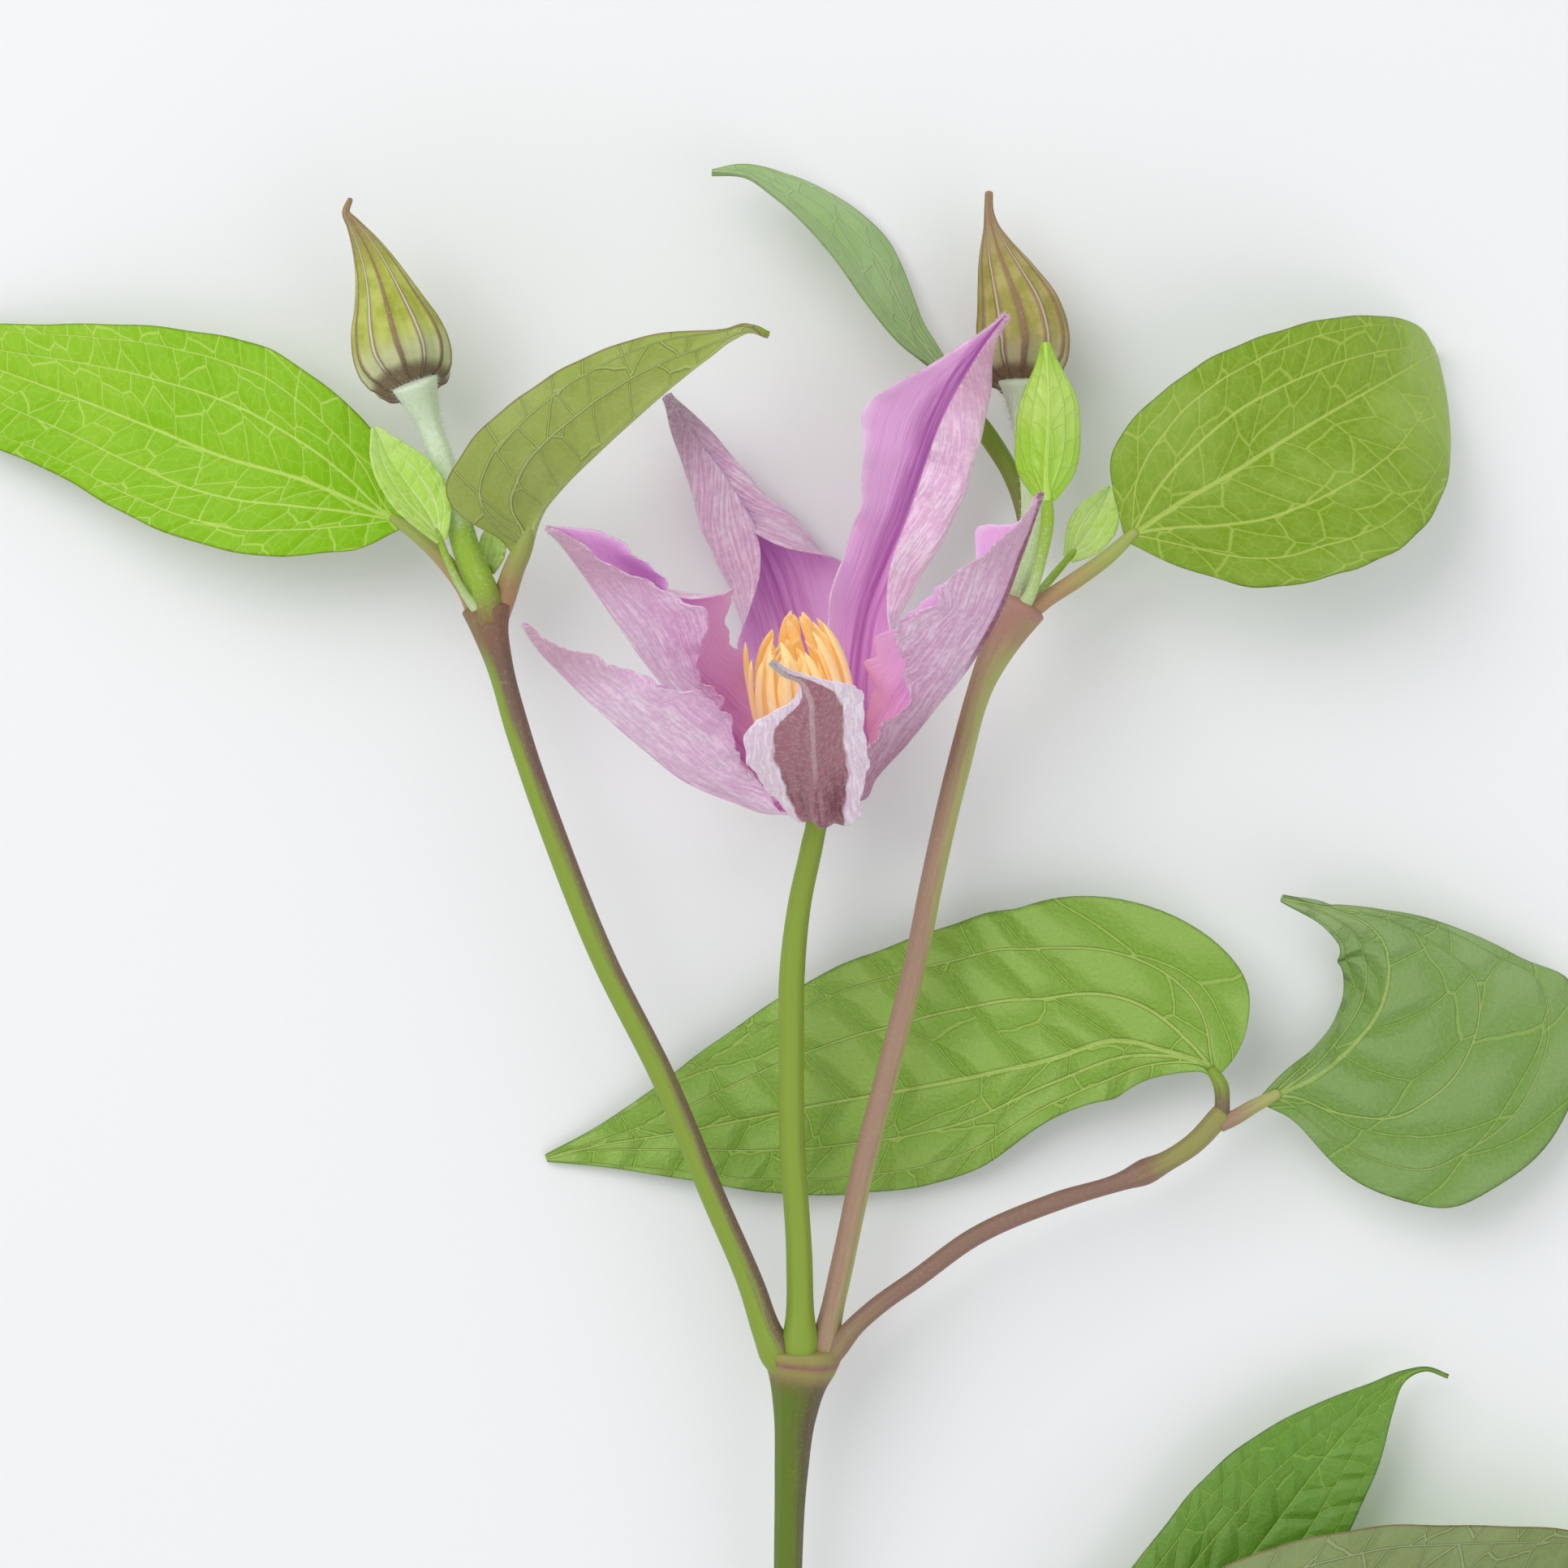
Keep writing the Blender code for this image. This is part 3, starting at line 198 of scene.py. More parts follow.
# The middle sheet of a blade: on each row a half starts at the midrib and runs outwards on the heading
# fold + curl * v + roll * step(v), so that reach and rise are sums of its cosine and sine. Waves lift the margin,
# a frill's wave is strongest there, pleats run along the foot, and nicks take from the width.
def sheetGrid(stations, face, left, right, lean=((0, 0, 0),), wave=(0, 1, 0), frill=(),
              nick=(), rows=150, strips=26, uneven=0.008, cross=0.0, pleats=0.0):
    share = endwise(rows)
    line, length = readRoute(stations, share)
    middle = line[:, :3]
    tangent = unit(soften(unit(np.gradient(middle, axis=0)), 40))
    line[:, 3:5] = np.maximum(soften(line[:, 3:5], 12), 0.3)
    for at, width, depth, column in nick:
        line[:, 3 + column] *= 1.0 - depth * bump(share - at, width)
    normal = easeTable(face, share)
    normal = unit(normal - tangent * np.sum(normal * tangent, axis=1, keepdims=True))
    across = np.cross(tangent, normal)
    leaning = np.radians(easeTable(lean, share))
    fine = (np.arange(4 * strips) + 0.5) / (4 * strips)  # four steps to a strip
    turned = stepUp(fine, 0.35, 0.70)
    v = np.arange(1, strips + 1) / strips
    height, number, phase = wave
    ripple = height * np.sin(math.pi * share) * np.sin(2 * math.pi * (number * share + phase))
    fade = np.sqrt(np.clip(np.sin(math.pi * share), 0.0, 1.0))[:, None]
    points = np.zeros((rows, 2 * strips + 1, 3))
    points[:, strips] = middle
    for sign, column, bend in ((-1, 0, left), (1, 1, right)):
        bend = soften(easeTable(bend, share), 12)
        heading = np.radians(bend[:, :1] + bend[:, 1:2] * fine + bend[:, 2:3] * turned)
        waver = (np.sin(2 * math.pi * (3.3 * share + 0.4 * column))
                 + 0.6 * np.sin(2 * math.pi * (8.7 * share + 0.7 * column)))
        step = line[:, 3 + column, None] * (1.0 + uneven * waver[:, None]) / (4 * strips)
        reach = np.cumsum(np.cos(heading) * step, axis=1)[:, 3::4]
        rise = np.cumsum(np.sin(heading) * step, axis=1)[:, 3::4]
        rise = rise + sign * ripple[:, None] * v * v
        for tallness, count, start, *window in frill:
            drift = 0.13 * np.sin(2 * math.pi * (2.3 * share + start))
            swing = np.sin(2 * math.pi * (count * share + start + 0.37 * column + drift))
            if window:
                swing = swing * bump(share - window[0], window[1]) * (column == window[2])
            rise = rise + tallness * fade * swing[:, None] * v ** (3 if count < 10 else 5)
        pleat = np.sin(2 * math.pi * (1.05 * length * share + 0.6 * np.sin(2 * math.pi * 5.1 * share)))
        rise = rise - pleats * bump(share - 0.2, 0.13)[:, None] * (0.5 + 0.5 * np.cos(2 * math.pi * 1.45 * v))
        rise = rise + cross * fade * pleat[:, None] * stepUp(v, 0.45, 0.95)
        leanHere = leaning[:, column:column + 1]
        half = (middle[:, None] + (sign * reach * np.cos(leanHere))[:, :, None] * across[:, None]
                + (reach * np.sin(leanHere))[:, :, None] * tangent[:, None] + rise[:, :, None] * normal[:, None])
        if sign < 0:
            points[:, :strips] = half[:, ::-1]
        else:
            points[:, strips + 1:] = half
    signed = np.concatenate((-v[::-1], [0.0], v))
    return {"points": points, "v": signed[None, :] * np.ones((rows, 1)),
            "share": share[:, None] * np.ones((1, 2 * strips + 1)),
            "wide": np.where(signed[None, :] < 0, line[:, 3:4], line[:, 4:5]), "length": length}


# Where the inner and outer side veins run, as shares of the half width, along the blade.
innerVein = ((0, 0.02), (0.08, 0.20), (0.25, 0.40), (0.5, 0.46), (0.75, 0.40), (0.93, 0.22), (1, 0.1))
outerVein = ((0, 0.03), (0.05, 0.34), (0.2, 0.68), (0.4, 0.78), (0.7, 0.82), (1, 0.85))


# Two skins, each half the thickness and its own relief off the middle sheet, closed by a strip round the margin.
def bladePart(sheet, thickness, upper, lower, edgeThin=0.6):
    points, v, share, wide = (sheet[key] for key in ("points", "v", "share", "wide"))
    rows, columns = v.shape
    normal = unit(np.cross(np.gradient(points, axis=1), np.gradient(points, axis=0)))
    half = thickness / 2 * (1.0 - edgeThin * np.abs(v) ** 8)
    skins = (points + normal * (half + upper)[:, :, None], points - normal * (half + lower)[:, :, None])
    row, column = np.meshgrid(np.arange(rows - 1), np.arange(columns - 1), indexing="ij")
    a = row * columns + column
    top = np.stack((a, a + 1, a + columns + 1, a + columns), axis=-1).reshape(-1, 4)
    total = rows * columns
    grid = np.arange(total).reshape(rows, columns)
    loop = np.concatenate((grid[0, :-1], grid[:-1, -1], grid[-1, :0:-1], grid[:0:-1, 0]))
    after = np.roll(loop, -1)
    rim = np.stack((loop + total, after + total, after, loop), axis=-1)
    size = np.abs(v)
    inner, outer = (easeTable(vein, share[:, 0]) for vein in (innerVein, outerVein))
    values = {"place": readings(v * wide, share * sheet["length"], (1.0 - size) * wide),
              "veins": readings(size * wide, (size - inner) * wide, (size - outer) * wide),
              "span": readings(share, size, wide)}
    return {"points": np.concatenate([skin.reshape(-1, 3) for skin in skins]),
            "faces": [top, top[:, ::-1] + total, rim], "numbers": [0, 1, 1],
            "values": {key: np.tile(value, (2, 1)) for key, value in values.items()}}


# Colours as seen on a screen, 0 to 255, made linear.
def tone(*seen):
    parts = [value / 255 for value in seen]
    return (*[part / 12.92 if part < 0.04045 else ((part + 0.055) / 1.055) ** 2.4 for part in parts], 1.0)


# A node's output is linked into the socket; anything else becomes its value.
def fill(socket, value):
    if isinstance(value, bpy.types.NodeSocket):
        socket.id_data.links.new(value, socket)
    else:
        socket.default_value = value


# The operation's result on up to three numbers or outputs.
def mathNode(tree, operation, first, second=0.0, third=0.0):
    node = tree.nodes.new("ShaderNodeMath")
    node.operation = operation
    for socket, value in zip(node.inputs, (first, second, third)):
        fill(socket, value)
    return node.outputs[0]


# First times second.
def times(tree, first, second):
    return mathNode(tree, "MULTIPLY", first, second)


# First times second, plus third.
def timesPlus(tree, first, second, third):
    return mathNode(tree, "MULTIPLY_ADD", first, second, third)


# Eased from toLow to toHigh while the value goes from low to high: t * t * (3 - 2 t).
def rangeNode(tree, value, low, high, toLow=0.0, toHigh=1.0):
    node = tree.nodes.new("ShaderNodeMapRange")
    node.interpolation_type = "SMOOTHSTEP"
    for name, given in (("Value", value), ("From Min", low), ("From Max", high), ("To Min", toLow), ("To Max", toHigh)):
        fill(node.inputs[name], given)
    return node.outputs["Result"]


# Colours laid over a first one in turn, each by its own mask: first + mask * (second - first).
def layerNodes(tree, colour, *layers):
    for mask, over in layers:
        node = tree.nodes.new("ShaderNodeMix")
        node.data_type = "RGBA"
        for index, value in ((0, mask), (6, colour), (7, over)):  # factor, first colour, second colour
            fill(node.inputs[index], value)
        colour = node.outputs[2]
    return colour


# The three numbers of a vector.
def splitNode(tree, vector):
    node = tree.nodes.new("ShaderNodeSeparateXYZ")
    fill(node.inputs[0], vector)
    return node.outputs


# Three numbers made a vector.
def joinNode(tree, *numbers):
    node = tree.nodes.new("ShaderNodeCombineXYZ")
    for socket, value in zip(node.inputs, numbers):
        fill(socket, value)
    return node.outputs[0]


# Noise in as many sizes as detail says, each half the last.
def noiseNode(tree, vector, scale, detail=3.0):
    node = tree.nodes.new("ShaderNodeTexNoise")
    fill(node.inputs["Vector"], vector)
    fill(node.inputs["Scale"], scale)
    node.inputs["Detail"].default_value = detail
    node.inputs["Roughness"].default_value = 0.55
    return node.outputs


# An empty node group with its named inputs (a number where a start value is given, else a vector) and outputs.
def startGroup(name, inputs, outputs):
    group = bpy.data.node_groups.new(name, "ShaderNodeTree")
    for title, value in inputs:
        kind = "NodeSocketVector" if value is None else "NodeSocketFloat"
        socket = group.interface.new_socket(title, in_out="INPUT", socket_type=kind)
        if value is not None:
            socket.default_value = value
    for title in outputs:
        group.interface.new_socket(title, in_out="OUTPUT", socket_type="NodeSocketFloat")
    return group, group.nodes.new("NodeGroupInput").outputs, group.nodes.new("NodeGroupOutput").inputs


# A group placed in a material with its own values.
def useGroup(tree, group, **values):
    node = tree.nodes.new("ShaderNodeGroup")
    node.node_tree = group
    for name, value in values.items():
        fill(node.inputs[name], value)
    return node.outputs


# Leaf veins: main ones where a distance kept on the surface is under the width, and between them a net of cell
# edges drawn out sideways and bent towards the tip, in two sizes; each band between main veins has its own cells.
def veinNetGroup():
    group, given, out = startGroup(
        "veinNet", (("Place", None), ("Veins", None), ("Span", None), ("Cell", 4.6), ("Width", 0.2), ("Seed", 0.0)),
        ("Main", "Net", "Fine", "Cushion"))
    place, veins, span = (splitNode(group, given[name]) for name in ("Place", "Veins", "Span"))
    taper = rangeNode(group, span[0], 0.0, 1.0, 1.0, 0.35)
    mainLines = 0.0
    for index, factor in enumerate((1.9, 1.25, 0.9)):  # midrib, inner and outer veins
        width = times(group, times(group, given["Width"], taper), factor)
        apart = mathNode(group, "DIVIDE", mathNode(group, "ABSOLUTE", veins[index]), width)
        mainLines = mathNode(group, "MAXIMUM", mainLines, rangeNode(group, apart, 0.5, 1.5, 1.0, 0.0))
    fill(out["Main"], mainLines)
    bent = timesPlus(group, mathNode(group, "ABSOLUTE", place[0]), -0.55, place[1])
    band = 0.0
    for distance, shift in ((veins[1], 37.0), (veins[2], 53.0), (place[0], 91.0)):
        band = timesPlus(group, mathNode(group, "GREATER_THAN", distance, 0.0), shift, band)
    flat = joinNode(group, timesPlus(group, place[0], 0.68, band), bent, given["Seed"])
    moved = group.nodes.new("ShaderNodeVectorMath")
    moved.operation = "MULTIPLY_ADD"
    for socket, value in zip(moved.inputs, (noiseNode(group, flat, 0.2, 2.0)["Color"], (1.3, 1.3, 0.0), flat)):
        fill(socket, value)
    nets = []
    for share in (1.0, 0.36):
        cells = group.nodes.new("ShaderNodeTexVoronoi")
        cells.feature = "DISTANCE_TO_EDGE"
        cells.voronoi_dimensions = "2D"
        cells.inputs["Randomness"].default_value = 0.8
        size = times(group, given["Cell"], share)
        fill(cells.inputs["Vector"], moved.outputs[0])
        fill(cells.inputs["Scale"], mathNode(group, "DIVIDE", 1.0, size))
        nets.append(times(group, cells.outputs["Distance"], size))
    for name, net, low, high in (("Net", nets[0], 0.3, 1.1), ("Fine", nets[1], 0.15, 0.75)):
        fill(out[name], rangeNode(group, mathNode(group, "DIVIDE", net, given["Width"]), low, high, 1.0, 0.0))
    fill(out["Cushion"], rangeNode(group, mathNode(group, "DIVIDE", nets[0], given["Cell"]), 0.0, 0.34))
    return group


# Streaks along a tepal: noise read across at one size and along at a much longer one.
def streakGroup():
    group, given, out = startGroup("lengthStreaks", (("Place", None), ("Across", 1.6), ("Along", 0.08), ("Seed", 0.0)),
                                   ("Value",))
    place = splitNode(group, given["Place"])
    flat = joinNode(group, times(group, place[0], given["Across"]),
                    times(group, place[1], given["Along"]), given["Seed"])
    fill(out["Value"], noiseNode(group, flat, 1.0, 4.0)["Fac"])
    return group


# Down and mottling: noise in the object's own space at a size in millimetres, eased between two values.
def mottleGroup():
    group, given, out = startGroup("mottle", (("Size", 4.0), ("Low", 0.4), ("High", 0.6)), ("Value",))
    coordinates = group.nodes.new("ShaderNodeTexCoord")
    noise = noiseNode(group, coordinates.outputs["Object"], mathNode(group, "DIVIDE", 1.0 / mm, given["Size"]))
    fill(out["Value"], rangeNode(group, noise["Fac"], given["Low"], given["High"]))
    return group


veinNet, streaks, mottle = veinNetGroup(), streakGroup(), mottleGroup()


# A material with its Principled shader's roughness and gloss, and the readings kept on the surface that it asks for:
# place (mm across, along, from the edge), veins (mm from each vein) and span (share, share across, width).
def startMaterial(name, roughness, gloss=0.3, reads=()):
    material = bpy.data.materials.new(name)
    material.use_nodes = True
    tree = material.node_tree
    shader = tree.nodes["Principled BSDF"]
    shader.inputs["Roughness"].default_value = roughness
    shader.inputs["Specular IOR Level"].default_value = gloss
    outputs = []
    for key in reads:
        node = tree.nodes.new("ShaderNodeAttribute")
        node.attribute_name = key
        outputs.append(node.outputs["Vector"])
    return (material, tree, shader, *outputs)


# A height from 0 to 1 that bends the shader's normal, as if it were depth mm deep.
def bumpInto(tree, shader, height, depth, strength=1.0):
    node = tree.nodes.new("ShaderNodeBump")
    node.inputs["Distance"].default_value = depth * mm
    node.inputs["Strength"].default_value = strength
    fill(node.inputs["Height"], height)
    fill(shader.inputs["Normal"], node.outputs["Normal"])


# Leaf skin: blade patched, more towards the tip, with a paler second tone that is partly its own mottling and partly
# painted sheen; a paler tip in that tone, painted highlight on the cushions between veins, paler net, thin coloured
# margin; veins sink on the upper face (raised -1) and stand out below (raised 1).
def leafMaterial(name, blade, second, vein, margin, roughness=0.42, net=0.75, fine=0.3, cell=4.6, width=0.2,
                 raised=-1.0, seed=0.0, marginWidth=0.28, gloss=0.2, relief=0.22, tipPale=0.0, mottleAndSheen=0.9, cushionHighlight=0.1):
    material, tree, shader, place, veins, span = startMaterial(name, roughness, gloss, ("place", "veins", "span"))
    lines = useGroup(tree, veinNet, Place=place, Veins=veins, Span=span, Cell=cell, Width=width, Seed=seed)
    patches = useGroup(tree, mottle, Size=15.0, Low=0.4, High=0.66)["Value"]
    grain = useGroup(tree, mottle, Size=0.5, Low=0.3, High=0.7)["Value"]
    share, fromEdge = splitNode(tree, span)[0], splitNode(tree, place)[2]
    fill(shader.inputs["Base Color"], layerNodes(
        tree, blade,
        # The patches and the paler tip take the second tone: partly the leaf's own mottling, partly painted sheen.
        (times(tree, patches, rangeNode(tree, share, 0.05, 0.6, 0.35 * mottleAndSheen, mottleAndSheen)), second),
        (rangeNode(tree, share, 0.4, 1.0, 0.0, tipPale), second),
        # Painted highlight: cushion centres between the veins made lighter.
        (times(tree, lines["Cushion"], cushionHighlight), second),
        (times(tree, grain, 0.22), second),
        (times(tree, lines["Fine"], fine), vein),
        (times(tree, lines["Net"], net), vein),
        (times(tree, lines["Main"], min(1.0, net + 0.35)), vein),
        (rangeNode(tree, fromEdge, marginWidth * 0.4, marginWidth, 0.55, 0.0), margin)))
    everyLine = mathNode(tree, "MAXIMUM", lines["Main"], times(tree, lines["Net"], 0.7))
    cushions = times(tree, lines["Cushion"], -raised)
    height = timesPlus(tree, everyLine, max(raised, 0.35 * raised), cushions)
    bumpInto(tree, shader, timesPlus(tree, grain, 0.12, height), relief, 0.8)
    return material


# Stem skin: a face and a side colour by the tint kept on the surface, lengthwise streaks, a paler knot under
# the top, collars at the nodes, and flecks of down, thickest where the tint is full.
def stalkMaterial(name, face, side, pale, ring, roughness=0.5, down=0.22, streak=0.6, knot=None):
    material, tree, shader, place, span = startMaterial(name, roughness, reads=("place", "span"))
    tint, share, collar = splitNode(tree, span)
    parts = zip(splitNode(tree, place), (3.0, 3.0, 0.12))  # cosine and sine of the turn, and mm along
    stretched = joinNode(tree, *[times(tree, part, scale) for part, scale in parts])
    lines = noiseNode(tree, stretched, 1.0, 4.0)["Fac"]
    flecks = useGroup(tree, mottle, Size=0.45, Low=0.5, High=0.75)["Value"]
    shifted = timesPlus(tree, mathNode(tree, "SUBTRACT", lines, 0.5), streak, tint)
    layers = [(rangeNode(tree, shifted, 0.25, 0.75), side)]
    if knot:
        layers.append((rangeNode(tree, share, 0.955, 0.975, 0.0, 0.85), knot))
    layers.append((times(tree, rangeNode(tree, lines, 0.3, 0.6, 0.75, 1.0), collar), ring))
    layers.append((times(tree, flecks, rangeNode(tree, tint, 0.15, 0.7, 0.3 * down, down)), pale))
    fill(shader.inputs["Base Color"], layerNodes(tree, face, *layers))
    bumpInto(tree, shader, timesPlus(tree, flecks, 0.3, lines), 0.12, 0.7)
    return material


# Inside of a tepal: lilac with deeper lengthwise lines, deepest along the middle and at the base; a faint glow
# stands for the light that comes through it.
def tepalInside(name, deep, light, pale):
    material, tree, shader, place, span = startMaterial(name, 0.55, 0.2, ("place", "span"))
    share, size, _ = splitNode(tree, span)
    apart = mathNode(tree, "ABSOLUTE", splitNode(tree, place)[0])
    broad = useGroup(tree, streaks, Place=place, Across=0.55, Along=0.035)["Value"]
    thin = useGroup(tree, streaks, Place=place, Across=3.2, Along=0.12, Seed=4.0)["Value"]
    value = mathNode(tree, "ADD", times(tree, broad, 0.55), times(tree, thin, 0.45))
    fromSecond = mathNode(tree, "ABSOLUTE", mathNode(tree, "SUBTRACT", apart, 1.25))  # mm from the line beside it
    for reading, low, high, toLow, toHigh in ((size, 0.0, 0.9, 0.16, -0.10), (share, 0.05, 0.55, 0.12, 0.0),
                                              (apart, 0.10, 0.42, 0.16, 0.0), (fromSecond, 0.08, 0.40, 0.11, 0.0)):
        value = mathNode(tree, "SUBTRACT", value, rangeNode(tree, reading, low, high, toLow, toHigh))
    rim = times(tree, rangeNode(tree, size, 0.80, 1.0, 0.0, 0.65),
                   rangeNode(tree, share, 0.40, 0.60, 0.15, 1.0))
    fill(shader.inputs["Base Color"],
         layerNodes(tree, deep, (rangeNode(tree, value, 0.08, 0.56), light), (rim, pale)))
    bumpInto(tree, shader, timesPlus(tree, thin, 0.7, broad), 0.22, 0.8)
    shader.inputs["Sheen Weight"].default_value = 0.15
    shader.inputs["Emission Color"].default_value = tone(190, 146, 244)
    shader.inputs["Emission Strength"].default_value = 0.07
    return material


# Outside of a tepal: dusty pink with a fine purple net under white down, a band along the middle with a pale
# or dark midline, deeper streaks at the foot of the band, painted shade towards the base where footShade is set,
# and its own colour at the tip.
def tepalOutside(name, dusty, net, down, band, deep, tip, bandWidth=0.3, bandStrength=0.2, midPale=0.0,
                 midDark=0.0, tipStart=0.70, footShade=0.0):
    material, tree, shader, place, span = startMaterial(name, 0.7, 0.15, ("place", "span"))
    share, size, _ = splitNode(tree, span)
    apart = mathNode(tree, "ABSOLUTE", splitNode(tree, place)[0])
    thin, crossing, broad, foot = [
        useGroup(tree, streaks, Place=place, Across=across, Along=along, Seed=seed)["Value"]
        for across, along, seed in ((2.6, 0.22, 2.0), (1.2, 1.1, 9.0), (0.34, 0.05, 5.0), (0.85, 0.05, 7.0))]
    nets = timesPlus(tree, crossing, 0.3, times(tree, thin, 0.7))
    netMask = rangeNode(tree, nets, 0.38, 0.60, 0.7, 0.0)
    wander = timesPlus(tree, mathNode(tree, "SUBTRACT", thin, 0.5), 0.12, size)
    middle = rangeNode(tree, wander, bandWidth * 0.93, bandWidth * 1.05, bandStrength, 0.0)
    footMask = times(tree, rangeNode(tree, foot, 0.46, 0.60),
                        rangeNode(tree, share, 0.25, 0.62, 0.8, 0.0))
    darkLine = times(tree, rangeNode(tree, apart, 0.30, 0.65, midDark, 0.0),
                        rangeNode(tree, share, 0.45, 0.62))
    paleLine = times(tree, rangeNode(tree, apart, 0.10, 0.26, midPale, 0.0),
                        rangeNode(tree, share, 0.34, 0.55))
    fuzz = useGroup(tree, mottle, Size=0.6, Low=0.40, High=0.75)["Value"]
    fill(shader.inputs["Base Color"], layerNodes(
        tree, dusty,
        (rangeNode(tree, broad, 0.40, 0.64, 0.0, 0.55), down),
        (netMask, net),
        (middle, band),
        (times(tree, footMask, middle), deep),
        # Painted shade: darker towards the base of the tepal.
        (rangeNode(tree, share, 0.2, 0.55, footShade, 0.0), deep),
        (rangeNode(tree, share, tipStart, tipStart + 0.2, 0.0, 0.75), tip),
        (darkLine, deep),
        (paleLine, down),
        (times(tree, fuzz, rangeNode(tree, size, 0.94, 1.0, 0.16, 0.6)), down)))
    height = timesPlus(tree, fuzz, 0.3, times(tree, netMask, -0.8))
    bumpInto(tree, shader, mathNode(tree, "SUBTRACT", height, footMask), 0.2, 0.8)
    shader.inputs["Sheen Weight"].default_value = 0.2
    return material


# Bud skin: green between ribs of brown, each second rib split by a pale seam, browner to the tip, and paler
# towards the foot by painted sheen in the seam tone.
# Its veins reading holds the ribs' cosine, the cosine of half as many, and the share.
def budMaterial(name, green, light, rib, seamAndSheen, dark, ribLow):
    material, tree, shader, veins = startMaterial(name, 0.5, 0.3, ("veins",))
    crest, kind, share = splitNode(tree, veins)
    ribs = rangeNode(tree, crest, ribLow, 0.92)
    seams = times(tree, rangeNode(tree, crest, 0.88, 0.97), rangeNode(tree, kind, 0.0, 0.6))
    patches = useGroup(tree, mottle, Size=3.0, Low=0.38, High=0.62)["Value"]
    flecks = useGroup(tree, mottle, Size=0.35, Low=0.5, High=0.75)["Value"]
    ribTone = layerNodes(tree, rib, (rangeNode(tree, share, 0.06, 0.32, 0.85, 0.0), dark))
    fill(shader.inputs["Base Color"], layerNodes(
        tree, green,
        (patches, light),
        (rangeNode(tree, share, 0.55, 0.95, 0.0, 0.75), rib),
        # Painted sheen: the seam tone laid over the lower part of the bud.
        (rangeNode(tree, share, 0.10, 0.32, 0.5, 0.0), seamAndSheen),
        (times(tree, ribs, 0.8), ribTone),
        (times(tree, seams, 0.85), seamAndSheen),
        (rangeNode(tree, share, 0.03, 0.08, 0.85, 0.0), dark),
        (times(tree, flecks, 0.2), seamAndSheen)))
    bumpInto(tree, shader, flecks, 0.06, 0.5)
    return material


# Stamens and styles: pale root to golden top; a faint warm glow stands for the light that comes through them.
def strapMaterial(name, root, top, glow):
    material, tree, shader, span = startMaterial(name, 0.5, reads=("span",))
    shader.inputs["Emission Color"].default_value = glow
    shader.inputs["Emission Strength"].default_value = 0.12
    patches = useGroup(tree, mottle, Size=1.2, Low=0.3, High=0.7)["Value"]
    value = timesPlus(tree, patches, 0.25, splitNode(tree, span)[0])
    fill(shader.inputs["Base Color"], layerNodes(tree, root, (rangeNode(tree, value, 0.2, 1.0), top)))
    bumpInto(tree, shader, patches, 0.05, 0.5)
    return material


brownEdge, redRing, darkRing = tone(132, 96, 70), tone(172, 126, 112), tone(140, 104, 84)
greenStalk = stalkMaterial("greenStalk", tone(136, 160, 56), tone(122, 98, 84), tone(176, 188, 128), darkRing)
mainStalk = stalkMaterial("mainStalk", tone(98, 120, 34), tone(98, 84, 62), tone(160, 172, 112), tone(146, 96, 92),
                          knot=tone(160, 150, 88))
purpleStalk = stalkMaterial("purpleStalk", tone(172, 174, 104), tone(164, 132, 112), tone(190, 178, 154), redRing)
brownStalk = stalkMaterial("brownStalk", tone(152, 148, 84), tone(142, 110, 96), tone(180, 164, 140), darkRing)
leafStalk = stalkMaterial("leafStalk", tone(164, 176, 92), tone(182, 140, 110), tone(206, 196, 158), redRing)
budStalk = stalkMaterial("budStalk", tone(152, 186, 62), tone(226, 238, 212), tone(238, 244, 228), darkRing,
                         0.85, down=0.6, streak=0.25)
cutStalk = stalkMaterial("cutEnd", tone(196, 204, 150), tone(150, 140, 100), tone(225, 228, 200), redRing, 0.6)
brightUpper = leafMaterial("brightUpper", tone(130, 186, 0), tone(146, 196, 32), tone(188, 220, 100),
                           tone(116, 136, 60), net=0.62, fine=0.2, cell=3.5, width=0.145)
brightUnder = leafMaterial("brightUnder", tone(156, 192, 74), tone(172, 202, 98), tone(204, 222, 150),
                           tone(120, 120, 70), 0.6, 0.5, 0.15, raised=1.0)
freshUpper = leafMaterial("freshUpper", tone(118, 152, 12), tone(156, 184, 84), tone(184, 204, 98), tone(116, 130, 72),
                          net=0.46, fine=0.16, cell=4.2, width=0.17, seed=3.0, tipPale=0.45, cushionHighlight=0.2)
midUpper = leafMaterial("midUpper", tone(122, 164, 36), tone(156, 190, 88), tone(182, 206, 106), tone(110, 138, 76),
                        0.34, 0.35, 0.0, 7.0, 0.2, seed=7.0, gloss=0.5, relief=0.95, mottleAndSheen=0.3, cushionHighlight=0.6)
darkUpper = leafMaterial("darkUpper", tone(110, 150, 52), tone(154, 178, 122), tone(168, 194, 102), tone(100, 120, 74),
                         0.38, 0.32, 0.0, 6.5, 0.18, seed=11.0, gloss=0.4, relief=0.8, tipPale=0.7, mottleAndSheen=0.2,
                         cushionHighlight=0.3)
lowUpper = leafMaterial("lowUpper", tone(102, 148, 48), tone(120, 160, 70), tone(150, 184, 78), tone(92, 116, 70),
                        0.4, 0.4, 0.14, 4.2, 0.14, seed=13.0, gloss=0.3, relief=0.4, mottleAndSheen=0.5)
oliveUnder = leafMaterial("oliveUnder", tone(154, 172, 74), tone(174, 188, 108), tone(190, 204, 130), brownEdge,
                          0.55, 0.35, 0.08, 4.8, 0.17, 1.0, 5.0, 0.3, gloss=0.35, relief=0.4)
